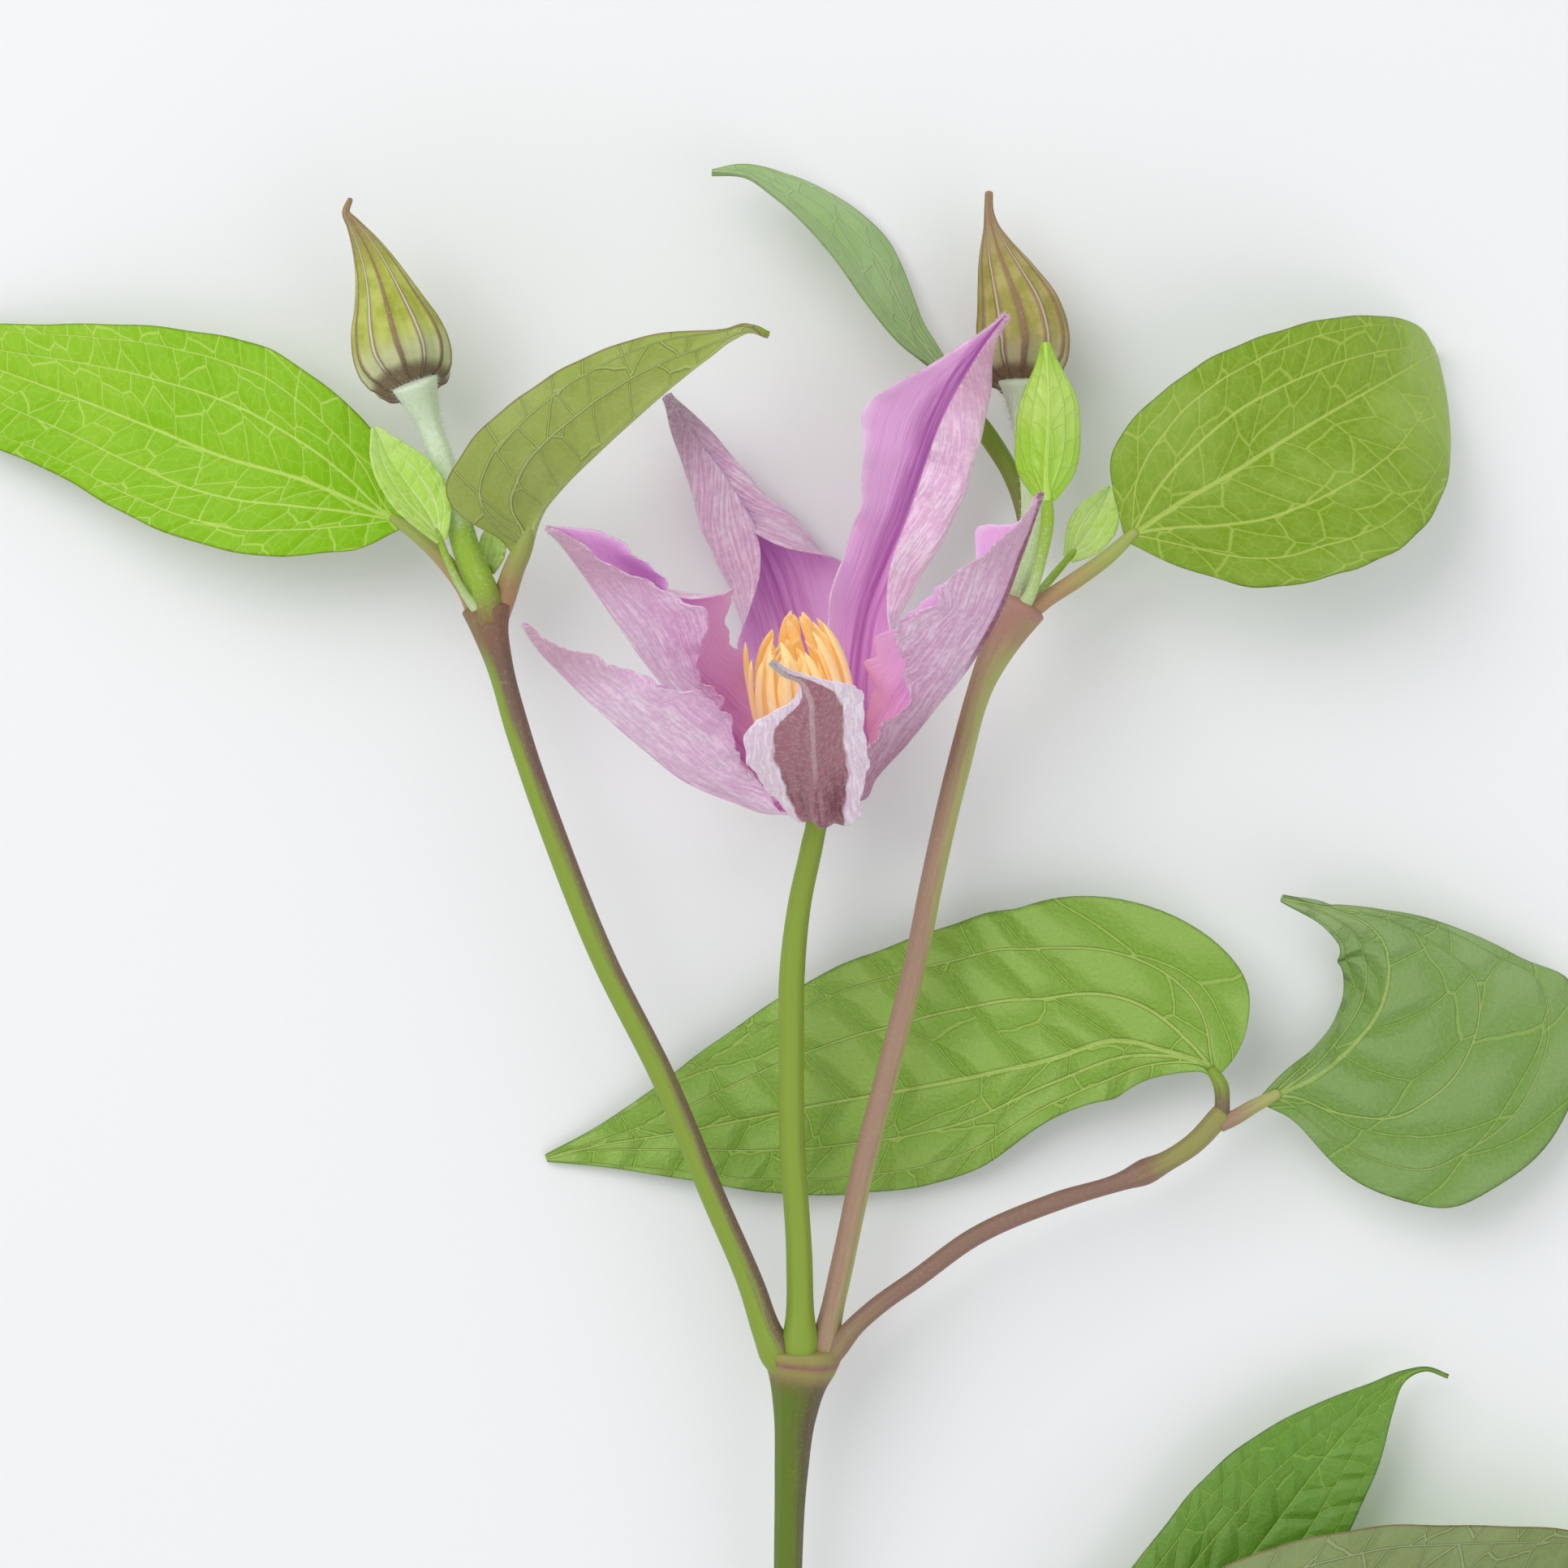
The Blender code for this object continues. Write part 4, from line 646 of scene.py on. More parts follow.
greyUnder = leafMaterial("greyUnder", tone(124, 140, 84), tone(142, 156, 106), tone(164, 176, 128), brownEdge,
                         0.65, 0.4, 0.12, 5.0, 0.2, 1.0, 6.0, 0.35, relief=0.4)
greenUnder = leafMaterial("greenUnder", tone(156, 188, 118), tone(172, 200, 142), tone(192, 212, 160),
                          tone(110, 130, 84), 0.6, 0.3, 0.05, 5.5, raised=1.0, seed=2.0)
youngUpper = leafMaterial("youngUpper", tone(178, 222, 72), tone(214, 234, 164), tone(224, 238, 178),
                          tone(200, 218, 146), 0.5, 0.3, 0.1, 2.6, 0.14, -1.0, 4.0, 0.15, relief=0.15)
youngUnder = leafMaterial("youngUnder", tone(152, 206, 16), tone(192, 224, 108), tone(196, 226, 110),
                          tone(160, 196, 70), 0.3, 0.1, 0.0, 3.2, 0.12, 1.0, 8.0, 0.15, gloss=0.6, relief=0.12)
lilacInside = tepalInside("lilacInside", tone(192, 106, 176), tone(236, 180, 224), tone(246, 214, 240))
dustyOutside = tepalOutside("dustyOutside", tone(253, 214, 242), tone(226, 166, 212), tone(255, 244, 253),
                            tone(228, 180, 212), tone(150, 76, 108), tone(194, 144, 166))
# A slightly darker copy of the dusty outside: painted shade, with a brown tip.
brownTipShadedOutside = tepalOutside("brownTipShadedOutside", tone(244, 204, 232), tone(212, 152, 198), tone(252, 238, 250),
                               tone(214, 164, 198), tone(150, 76, 108), tone(122, 100, 106), tipStart=0.78)
# A darker copy of the dusty outside for the tepal that lies in less light: painted shade, with a dark midline.
darkRibShadedOutside = tepalOutside("darkRibShadedOutside", tone(238, 196, 226), tone(206, 144, 190), tone(250, 236, 248),
                              tone(206, 152, 188), tone(134, 62, 90), tone(200, 156, 180), midDark=0.9, footShade=0.5)
bandedOutside = tepalOutside("bandedOutside", tone(255, 238, 252), tone(236, 194, 226), tone(255, 248, 254),
                             tone(166, 98, 112), tone(124, 44, 76), tone(136, 128, 116), bandWidth=0.60,
                             bandStrength=0.95, midPale=0.22, tipStart=0.84)
budDark = tone(108, 78, 62)
budGreen = budMaterial("budGreen", tone(164, 172, 54), tone(186, 194, 92), tone(138, 98, 82), tone(222, 218, 200),
                       budDark, ribLow=0.45)
budBrown = budMaterial("budBrown", tone(158, 150, 68), tone(180, 168, 96), tone(142, 104, 86), tone(206, 196, 172),
                       budDark, ribLow=0.05)
stamenGold = strapMaterial("stamenGold", tone(255, 242, 204), tone(255, 226, 158), tone(255, 204, 130))
styleGold = strapMaterial("styleGold", tone(255, 222, 100), tone(250, 204, 62), tone(255, 188, 84))
hairWhite, _, hairShader = startMaterial("hairWhite", 0.6)
hairShader.inputs["Base Color"].default_value = tone(236, 238, 228)
print("materials made")


# Stems. Routes run from the root end: x, y, z, radius and tallness. A tint is 0 for the face colour and 1 for
# the side colour, lit says how much it changes round the stem and where it is highest, and a collar is set by
# its share, width and strength.
stems = {
    "mainStem": dict(
        node="main_stem", slotName="green_stem", skin=mainStalk, rings=260, sides=36, ridges=6, ridgeHeight=0.04,
        domes=(0, 0.3), slant=0.5, lit=(0.4, 0), tint=((0, 0.3), (0.85, 0.3), (0.95, 0.4), (1, 0.3)),
        collar=((0.225, 0.012, 0.7), (0.965, 0.014, 0.3), (0.985, 0.0045, 1)),
        route=((0, -171, 2.25, 2.1, 1), (0, -160, 3.5, 2.05, 1), (0, -152, 4.6, 2.3, 1), (0, -148, 5.1, 3.2, 0.9),
            (0.2, -143, 5.6, 2.1, 1), (0.4, -133, 6.4, 1.75, 1), (0.5, -115, 7.6, 1.65, 1), (0.5, -98, 9, 1.7, 1),
            (0.9, -86, 10.4, 2, 1), (1.4, -78.5, 11.3, 2.6, 1), (1.8, -74.5, 11.8, 3.5, 0.92),
            (2.1, -72.3, 12, 4.4, 0.8), (2.2, -71, 12.2, 4.75, 0.76), (2.2, -70.4, 12.3, 4.6, 0.76))),
    "shootLeft": dict(
        node="shoot_left", slotName="green_stem", skin=greenStalk, domes=(0.6, 1), lit=(0.55, 0.2),
        tint=((0, 0.25), (0.85, 0.45), (1, 0.8)), collar=((0.975, 0.03, 0.9), (1, 0.035, 1)),
        route=((0.6, -73.2, 12.2, 1.7, 1), (-0.8, -70.8, 12.7, 2.2, 1), (-2, -68.3, 12.7, 1.85, 1),
            (-4, -62.5, 12.6, 1.6, 1), (-8.5, -52, 13, 1.5, 1), (-15, -36.5, 13.5, 1.5, 1),
            (-22.5, -21.5, 14, 1.5, 1), (-28.5, -6.5, 14, 1.5, 1), (-33, 6.5, 14, 1.5, 1), (-35.5, 15.5, 14, 1.7, 1),
            (-36.5, 19.3, 14.1, 2.3, 1), (-36.9, 21.6, 14.2, 3, 0.92))),
    "bloomStalk": dict(
        node="bloom_stalk", slotName="green_stem", skin=greenStalk, domes=(0.6, 0.3), lit=(0.25, 0),
        tint=((0, 0.1), (1, 0.15)), route=((2, -72.6, 12.6, 2.2, 1), (2, -70, 13.2, 2.35, 1), (2, -66.4, 13, 1.8, 1),
            (1.9, -59, 13, 1.6, 1), (1, -44, 13.5, 1.55, 1), (0.9, -33.5, 13.5, 1.55, 1), (1, -23.5, 14, 1.55, 1),
            (2, -14.5, 14, 1.4, 1), (3.4, -8, 14, 1.35, 1), (4.1, -4.4, 14.3, 1.4, 1), (4.2, -2.4, 15, 2, 1),
            (4, -0.3, 16.2, 2.4, 1))),
    "shootRight": dict(
        node="shoot_right", slotName="purple_stem", skin=purpleStalk, domes=(0.6, 1), lit=(0.3, 2.6),
        tint=((0, 0.5), (0.5, 0.6), (0.8, 0.4), (0.94, 0.4), (1, 0.7)), collar=((0.97, 0.025, 0.8), (1, 0.012, 1)),
        route=((3.6, -73.2, 12, 1.6, 1), (4.9, -70.4, 12.2, 1.95, 1), (5.7, -66.8, 11.9, 1.5, 1),
            (7.2, -60, 12, 1.4, 1), (10, -47, 12.5, 1.4, 1), (13.5, -33.5, 13, 1.4, 1), (16.5, -21.5, 13, 1.4, 1),
            (18.5, -11.5, 13, 1.4, 1), (21.5, 1.5, 13.5, 1.45, 1), (25, 13.5, 13.7, 1.65, 1),
            (27.4, 18.5, 13.8, 2.4, 1), (29.2, 22, 13.8, 3.3, 0.95))),
    "leafMidStalk": dict(
        node="leaf_mid_stalk", slotName="purple_stem", skin=brownStalk, domes=(0.6, 0.6), lit=(0.3, -1.6),
        tint=((0, 0.8), (0.8, 0.85), (0.86, 0.6), (1, 0.5)), collar=((0.8, 0.012, 0.6),),
        route=((4.4, -72.8, 12.2, 1.3), (6.6, -70, 12.8, 1.4), (8.6, -67.6, 12.9, 1.2), (11.5, -65, 12.8, 1.15),
            (16.5, -61.5, 12.3, 1.15), (23.5, -56.5, 11.7, 1.15), (34, -52, 11, 1.15), (42.5, -49.4, 10.2, 1.2),
            (45, -48.4, 10, 1.6), (47.5, -47.2, 9.8, 1.3), (51, -45, 9.5, 1.3), (54.6, -41.3, 9.1, 1.35))),
    "leafLowStalk": dict(
        node="leaf_low_stalk", slotName="purple_stem", skin=brownStalk, rings=40, domes=(0.6, 0.8), lit=(0.3, -1.6),
        tint=((0, 0.8), (1, 0.5)), collar=((1, 0.05, 0.5),),
        route=((1.2, -147.6, 5.4, 1.4), (3.9, -145.8, 5.7, 1.3), (9.5, -142, 6, 1.25), (19.5, -137, 6.2, 1.2),
            (29.9, -132.2, 6.2, 1.5))),
    "budStalkLeft": dict(
        node="bud_stalk_left", slotName="downy_stalk", skin=budStalk, rings=70, domes=(0.6, 0.5), lit=(0, 0),
        hairs=1900, tint=((0, 0), (0.25, 0.1), (0.6, 0.8), (1, 0.85)), collar=((0, 0.09, 0.9),),
        route=((-36.9, 20.6, 14.6, 2.2), (-37.2, 23.4, 15.4, 1.9), (-39, 28, 15.6, 1.7), (-40.8, 34.4, 16, 1.6),
            (-42.4, 40.2, 16, 1.45), (-44, 44.8, 15.6, 1.5), (-44.9, 47.3, 15.9, 2.1), (-45.7, 49.6, 16.4, 2.9))),
    "budStalkRight": dict(
        node="bud_stalk_right", slotName="downy_stalk", skin=budStalk, rings=70, domes=(0.6, 0.5), lit=(0, 0),
        hairs=1900, tint=((0, 0.55), (0.3, 0.5), (1, 0.85)), collar=((0, 0.12, 0.8),),
        route=((28.7, 20.8, 13.4, 2), (28.6, 23.9, 13, 1.6), (30, 28, 12, 1.5), (31, 33, 11, 1.5),
            (30.5, 41, 10, 1.4), (29.7, 47.8, 9.4, 1.9), (29.5, 50.4, 9.8, 2.7))),
}


stemHairs = dict(lengths=(0.35, 0.8), width=0.022, seed=5)
tepalHairs = dict(lengths=(0.2, 0.55), width=0.016, seed=3)
tepalHairCount = 900


# Hairs: thin three-sided spikes that stand off a surface and lean at random, all made at once.
def hairPart(points, normals, number, lengths, width, seed):
    draw = np.random.default_rng(seed)
    count = len(points)
    way = unit(normals + draw.normal(0.0, 0.35, (count, 3)))
    side = unit(np.cross(way, draw.normal(size=(count, 3))))
    other = np.cross(way, side)
    long = draw.uniform(*lengths, count)[:, None]
    turn = turnsRound(3)[None, :, None]
    feet = (points - 0.1 * way)[:, None] + width * (np.cos(turn) * side[:, None] + np.sin(turn) * other[:, None])
    corners = np.concatenate((feet, (points + long * way)[:, None]), axis=1).reshape(-1, 3)
    start = np.arange(count)[:, None] * 4
    faces = np.concatenate([start + np.array(row) for row in ((0, 1, 3), (1, 2, 3), (2, 0, 3), (0, 2, 1))])
    return {"points": corners, "faces": [faces], "numbers": [number], "values": {}}


# A stem: a ridged tube run on into what carries it; the main stem's first end is cut, and hairs stand at random
# places, closer towards the top.
def stemPiece(name, node, slotName, skin, route, hairs=0, rings=150, sides=28, ridgeHeight=0.025, **shape):
    tube = tubePart(route, rings=rings, sides=sides, ridgeHeight=ridgeHeight, **shape)
    quads, caps = tube["faces"]
    if name == "mainStem":
        tube["faces"], tube["numbers"] = [quads, caps[:1], caps[1:]], [0, 2, 0]
    parts = [tube]
    if hairs:
        draw = np.random.default_rng(len(name))
        picks = (len(quads) * draw.beta(3.2, 1.0, hairs)).astype(int)
        chosen = tube["points"][quads[picks]]
        blend = draw.dirichlet((1, 1, 1, 1), hairs)[:, :, None]
        normals = unit(np.cross(chosen[:, 1] - chosen[:, 0], chosen[:, 3] - chosen[:, 0]))
        parts.append(hairPart((chosen * blend).sum(axis=1), normals, 1, **stemHairs))
    placePiece(name, parts, [skin, hairWhite, cutStalk], [node])


# Leaves. Stations: x, y, z and the half widths left and right of the midrib. Face: share and the way that the
# upper side turns. Left and right: share, fold, curl and roll in degrees. Lean: share and degrees that the left
# and the right half sweep forward. Wave: height, number, phase. Frill: height, number, start, and for one place
# only its share, width and half. Nick: share, width, depth and half.
leaves = {
    "leafLeftOuter": dict(
        node="leaf_left_outer", slotName="bright_leaf", upperSkin=brightUpper, underSkin=brightUnder,
        petioleSkin=leafStalk, petiole=((-38.2, 21.6, 13.9, 1.4), (-39.3, 23.6, 13.6, 1.1), (-42, 27.5, 13.8, 1.05),
            (-45, 30.5, 13.2, 0.95), (-48.5, 33, 12.2, 0.7)),
        stations=((-47.5, 32.5, 12.5, 1, 1), (-51, 34, 12.3, 5.4, 5), (-54, 35.4, 12.2, 7.3, 8.5),
            (-59, 37.5, 12, 10, 11.2), (-70.5, 41, 10, 11.3, 14.8), (-79, 44.5, 8, 11.2, 13.2),
            (-89, 48.5, 6, 9.7, 9.7), (-98.5, 52, 4, 9, 6.2), (-108, 55.5, 1.9, 5, 3), (-116.5, 57.5, 0.4, 0.5, 0.5)),
        face=((0, 0, 0, 1),), left=((0, 6, 0, 0),), right=((0, 6, -8, 0),), wave=(0.4, 2, 0.1)),
    "leafLeftInner": dict(
        node="leaf_left_inner", slotName="leaf_underside", upperSkin=brightUpper, underSkin=oliveUnder,
        petioleSkin=leafStalk, veinDepth=0.2, rib=0.6,
        petiole=((-35.9, 20.8, 13.9, 1.8), (-34.7, 23.4, 13.8, 1.5), (-33.5, 26.5, 16, 1.35),
            (-32.2, 29.2, 18.4, 1.2), (-31.2, 31.6, 20.6, 0.7)),
        stations=((-32.4, 28.8, 18, 1.1, 1.2), (-31.2, 31.4, 20.3, 2.8, 4.6), (-30, 33.6, 22.5, 6.6, 11.2),
            (-27.5, 36.5, 26, 10.5, 12.4), (-22.5, 41, 31, 12, 11.6), (-18, 44.8, 34, 11.5, 9.8),
            (-13.5, 48.5, 36, 9.5, 7.4), (-9.4, 51.6, 37.2, 6, 4.2), (-6.4, 53.8, 38, 2.2, 1.2),
            (-4.2, 54.8, 37.8, 0.9, 1), (-1.8, 54.2, 37.2, 0.3, 0.3)),
        face=((0, -0.35, 0.45, -0.8), (0.86, -0.22, 0.5, -0.8), (0.91, -0.21, 0.5, -0.8), (0.955, -0.1, 0.8, -0.1),
            (1, 0, 0.5, 0.8)), left=((0, 50, 20, 0), (0.3, 62, 20, 0), (1, 50, 10, 0)), right=((0, 8, 10, 0),),
        lean=((0, 10, -48), (0.12, 0, -25), (0.3, 0, -8), (1, 0, 0))),
    "leafRightOuter": dict(
        node="leaf_right_outer", slotName="fresh_leaf", upperSkin=freshUpper, underSkin=greenUnder,
        petioleSkin=leafStalk, petiole=((29.9, 21.2, 13.4, 1.6), (31.7, 22.4, 13.3, 1.2), (36.5, 25.5, 14.5, 1.05),
            (40.3, 28.3, 15.8, 0.95), (43.3, 31.1, 16.7, 0.7)),
        stations=((42.5, 30.5, 16.5, 1, 1), (44.6, 31.9, 17.1, 7.5, 5.5), (48.5, 34.5, 18, 11.4, 11.2),
            (55.5, 38.5, 19, 13.4, 16), (61, 42, 18.8, 13.2, 18.4), (67.3, 45.8, 17.4, 12, 18.8),
            (73.6, 49.4, 14.2, 9.6, 16.8), (78.4, 52.2, 9.6, 6.6, 12.4), (81.2, 53.8, 4.6, 3.4, 6.6),
            (82.2, 54.4, 0.6, 0.5, 0.5)), face=((0, 0, 0, 1), (0.6, 0.1, 0, 1), (1, 0.9, 0.3, 0.4)),
        left=((0, 8, -14, 0),), right=((0, 6, -14, 0),), wave=(0.4, 1.5, 0.3), nick=((0.965, 0.012, 0.3, 0),)),
    "leafRightInner": dict(
        node="leaf_right_inner", slotName="fresh_leaf", upperSkin=greenUnder, underSkin=greenUnder,
        petioleSkin=greenStalk, petiole=((28.9, 21.6, 12.4, 1.1), (29.2, 23.7, 10.8, 0.95), (30.1, 28, 8.2, 0.95),
            (30.2, 33, 6.8, 1), (28.6, 38.5, 6.4, 1.1), (25.4, 43.8, 6.8, 1.2), (22.3, 47.8, 7.7, 1)),
        stations=((22.7, 47.3, 7.6, 1.4, 1.4), (18.9, 52.2, 8.2, 3, 3), (14.6, 56.3, 8.9, 6, 6),
            (11.6, 60.6, 9.2, 8, 8), (8.6, 65.2, 9.2, 9.2, 9.2), (4.2, 70, 9.2, 7.8, 7.8),
            (-0.8, 73.9, 9.4, 4.8, 4.8), (-5, 76.2, 9.7, 2, 2), (-9, 76.3, 10, 0.5, 0.5)),
        face=((0, 0.72, 0.55, 0.42), (1, 0.55, 0.75, 0.42)), left=((0, 12, 0, 0),), right=((0, 12, 0, 0),)),
    "leafletMidLeft": dict(
        node="leaflet_mid_left", slotName="fresh_leaf", upperSkin=midUpper, underSkin=greenUnder,
        petioleSkin=greenStalk, veinDepth=0.16,
        petiole=((54.6, -41.6, 9.1, 1.1), (54.75, -39.9, 9, 0.95), (54.6, -37.8, 8.9, 0.95), (53.6, -35.9, 8.6, 0.7)),
        stations=((54, -36.3, 8.7, 0.6, 0.8), (52.8, -35.1, 8.5, 1.1, 5), (50.8, -34.2, 8.2, 2, 9.8),
            (47.6, -33.3, 7.8, 3.4, 14), (42, -32.1, 7.2, 7.1, 17.9), (33.4, -34.5, 6.4, 6.9, 19.4),
            (21.4, -37.2, 5.6, 11.9, 19), (3.4, -40.5, 4.4, 11.6, 14.6), (-6.6, -42.5, 3.6, 8.7, 10.4),
            (-14.6, -44.1, 2.8, 5.6, 6.4), (-23.6, -45.6, 1.6, 2.7, 2.2), (-30, -47.2, 0.8, 0.5, 0.5)),
        face=((0, -0.1, 0, 1), (1, 0, 0, 1)), left=((0, 0, 0, 0), (0.35, -8, -6, 0), (1, 4, 0, 0)),
        right=((0, 4, -8, 0),), wave=(0.5, 2.5, 0),
        lean=((0, 0, -24), (0.083, 0, -28), (0.149, 0, 0), (0.22, 0, 0), (1, 0, 0))),
    "leafletMidRight": dict(
        node="leaflet_mid_right", slotName="dark_leaf", upperSkin=darkUpper, underSkin=greenUnder,
        petioleSkin=purpleStalk, veinDepth=0.2,
        petiole=((54.5, -42.4, 9.1, 1.1), (56.1, -41.75, 9.1, 1), (58.6, -40.3, 9, 0.9), (61.5, -38.8, 8.9, 0.7)),
        stations=((60, -39.4, 9, 0.7, 0.8), (63.4, -38.1, 9, 2.6, 4.6), (66.8, -36.4, 9, 4.2, 14.4),
            (69.8, -34, 8.8, 5.5, 22), (72.6, -31.1, 8.5, 6, 25.8), (74.4, -28.4, 8.3, 6.2, 27.4),
            (75.4, -25.4, 8.3, 6.4, 26.4), (75.6, -22.6, 8.6, 6.6, 22.8), (75, -20, 9, 6.6, 16),
            (73, -17.6, 9.6, 5.4, 7.4), (69, -15.8, 10.2, 3, 1.6), (62, -14.2, 11, 0.5, 0.5)),
        face=((0, 0, 0, 1), (0.7, 0, 0, 1), (1, -0.2, -0.3, 1)),
        left=((0, -10, -10, 0), (0.25, -44, -24, 0), (0.55, -24, -16, 0), (1, 0, 0, 0)),
        right=((0, -3, 0, 0), (1, 0, -6, 0)), wave=(0.4, 3, 0.2), frill=((0.9, 5, 0.2, 0.75, 0.25, 1),),
        lean=((0, 0, -12), (0.3, 0, -11), (0.5, 0, -6), (0.58, 0, -9), (0.64, 0, -28), (0.72, 0, -45), (0.84, 0, -55),
            (1, 0, -20))),
    "leafletLowLeft": dict(
        node="leaflet_low_left", slotName="dark_leaf", upperSkin=lowUpper, underSkin=greenUnder,
        petioleSkin=purpleStalk, veinDepth=0.2, petiole=((29.6, -132.4, 6.2, 1.1), (30.26, -130.82, 6.3, 0.95),
            (32.5, -128, 6.4, 0.9), (34.6, -125, 6.4, 0.6)),
        stations=((34, -125.8, 6.3, 1, 0.9), (36.4, -122.8, 6, 6.6, 3.6), (42, -116, 5.8, 10.8, 7.4),
            (50, -106.6, 6.2, 10.6, 9.2), (59, -96, 6.8, 11.3, 9), (65, -88, 7, 8.8, 7.6), (70.8, -80.6, 7, 4.8, 5.2),
            (74.4, -76.8, 6.6, 2.1, 2.6), (77.7, -74.2, 6, 0.7, 0.6), (80.6, -73.4, 5.4, 0.3, 0.3),
            (83.4, -74.4, 4.6, 0.3, 0.3)), face=((0, 0, 0, 1),), left=((0, 8, -8, 0),), right=((0, 4, 0, 0),),
        lean=((0, -30, -30), (0.2, 0, 0), (1, 0, 0))),
    "leafletLowRight": dict(
        node="leaflet_low_right", slotName="leaf_underside", upperSkin=brightUpper, underSkin=greyUnder,
        petioleSkin=purpleStalk, veinDepth=0.2, petiole=((29.7, -133, 6.2, 1.1), (30.9, -132.95, 6.4, 0.95),
            (35, -130.2, 7.2, 0.9), (38.8, -126.7, 9.1, 0.6)),
        stations=((38, -127.4, 8.6, 1, 0.9), (42, -123.6, 11.4, 7, 6), (49, -117.8, 14, 12.4, 12),
            (59, -112.4, 15.6, 15.5, 16.2), (71, -107.6, 16.4, 16, 15.4), (84, -104, 16, 13.8, 12),
            (97, -102, 14.4, 9.6, 9.6), (108, -100.8, 12, 5, 5.2), (116.5, -99.5, 9.6, 0.5, 0.5)),
        face=((0, 0.1, 0.1, -1), (1, 0, 0.2, -1)), left=((0, 6, 0, 0),), right=((0, 4, 8, 0),),
        lean=((0, -30, -30), (0.2, 0, 0), (1, 0, 0)), wave=(0.5, 2, 0)),
}


# A leaf: blade with sunken veins above and a raised midrib below, and its petiole run on into the node.
def leafPiece(name, node, slotName, upperSkin, underSkin, petiole, petioleSkin, thickness=0.5, rib=0.55,
              veinDepth=0.14, petioleTint=((0, 0.75), (0.5, 0.5), (1, 0.1)), **blade):
    sheet = sheetGrid(**blade)
    share, size, wide = sheet["share"], np.abs(sheet["v"]), sheet["wide"]
    taper = 1.0 - 0.7 * share
    inner, outer = (easeTable(vein, share[:, 0]) for vein in (innerVein, outerVein))
    mid = bump(size * wide, 0.42)
    lines = bump((size - inner) * wide, 0.36) + 0.6 * bump((size - outer) * wide, 0.3)
    edgeFade = stepUp(1.0 - size, 0.0, 0.15)
    upper = -veinDepth * (1.4 * mid + lines) * edgeFade * taper
    lower = (rib * mid * taper + 1.3 * veinDepth * lines * taper) * edgeFade
    parts = [bladePart(sheet, thickness, upper, lower),
             tubePart(petiole, rings=40, sides=18, ridges=0, domes=(0.3, 0.6), tint=petioleTint, number=2)]
    placePiece(name, parts, [upperSkin, underSkin, petioleSkin], [node])


# Young leaves in the forks: cupped, closely veined.
youngLeaves = {
    "youngLeftOuter": dict(
        node="bract_left_outer", underSkin=youngUpper, cup=22,
        petiole=((-38.2, 21.8, 16.2, 0.7), (-39.6, 23.7, 16.9, 0.55), (-41.3, 27, 17.5, 0.5), (-42.9, 31.2, 18, 0.4)),
        stations=((-42.3, 30, 17.9, 0.8, 0.8), (-44, 33.5, 18.4, 3.2, 3.4), (-46.6, 37.2, 18.8, 4, 4.2),
            (-49.2, 41, 19, 2.6, 2.6), (-50.5, 44, 19.2, 0.5, 0.5)), face=((0, 0.2, 0.1, 1),)),
    "youngLeftInner": dict(
        node="bract_left_inner", underSkin=youngUpper, cup=15,
        petiole=((-37.2, 21.8, 12.6, 0.7), (-37.1, 24, 12.2, 0.5), (-36.6, 26.8, 12.5, 0.4)),
        stations=((-36.7, 26.2, 12.4, 0.7, 0.7), (-36.4, 28.4, 12.7, 1.8, 1.8), (-35.9, 31, 13, 1.6, 1.6),
            (-35.2, 33.6, 13.2, 0.5, 0.5)), face=((0, 0, 0.1, 1),)),
    "youngRightFront": dict(
        node="bract_right_front", underSkin=youngUnder, cup=26,
        petiole=((29.4, 21.6, 14.8, 1), (30.3, 23.1, 15.5, 0.8), (31.8, 28, 16.4, 0.75), (32.6, 33, 17, 0.8),
            (32.5, 36, 17.1, 0.6)), stations=((32.5, 35, 17.1, 1.2, 1.2), (32.4, 38, 17.2, 3.9, 3.9),
            (32.6, 43, 17.4, 4.7, 4.7), (32.7, 48, 17.6, 4, 4), (32.5, 52, 17.4, 1.7, 1.7),
            (32.3, 54.6, 17.2, 0.5, 0.5)), face=((0, 0.05, 0.1, -1),)),
    "youngRightBack": dict(
        node="bract_right_back", underSkin=youngUpper, cup=15,
        petiole=((29.6, 21.4, 11.8, 0.7), (30.9, 22.8, 11, 0.55), (33.6, 26, 11.2, 0.5), (36, 28.8, 11.5, 0.4)),
        stations=((35.4, 28, 11.4, 0.8, 0.8), (37.4, 30.6, 11.7, 2.8, 2.8), (39.2, 33.6, 11.9, 2.9, 2.9),
            (40.6, 37, 12, 0.5, 0.5)), face=((0, 0, 0, 1),)),
}


# A young leaf: a small leaf with both halves cupped alike and a finely waved margin.
def youngLeafPiece(name, cup, **young):
    bend = ((0, cup, 12, 0),)
    leafPiece(name, slotName="bright_leaf", upperSkin=youngUpper, petioleSkin=budStalk, rib=0.3, veinDepth=0.1,
              petioleTint=((0, 0.5), (1, 0.2)), rows=70, strips=16, left=bend, right=bend,
              frill=((0.12, 7, 0.1),), **young)


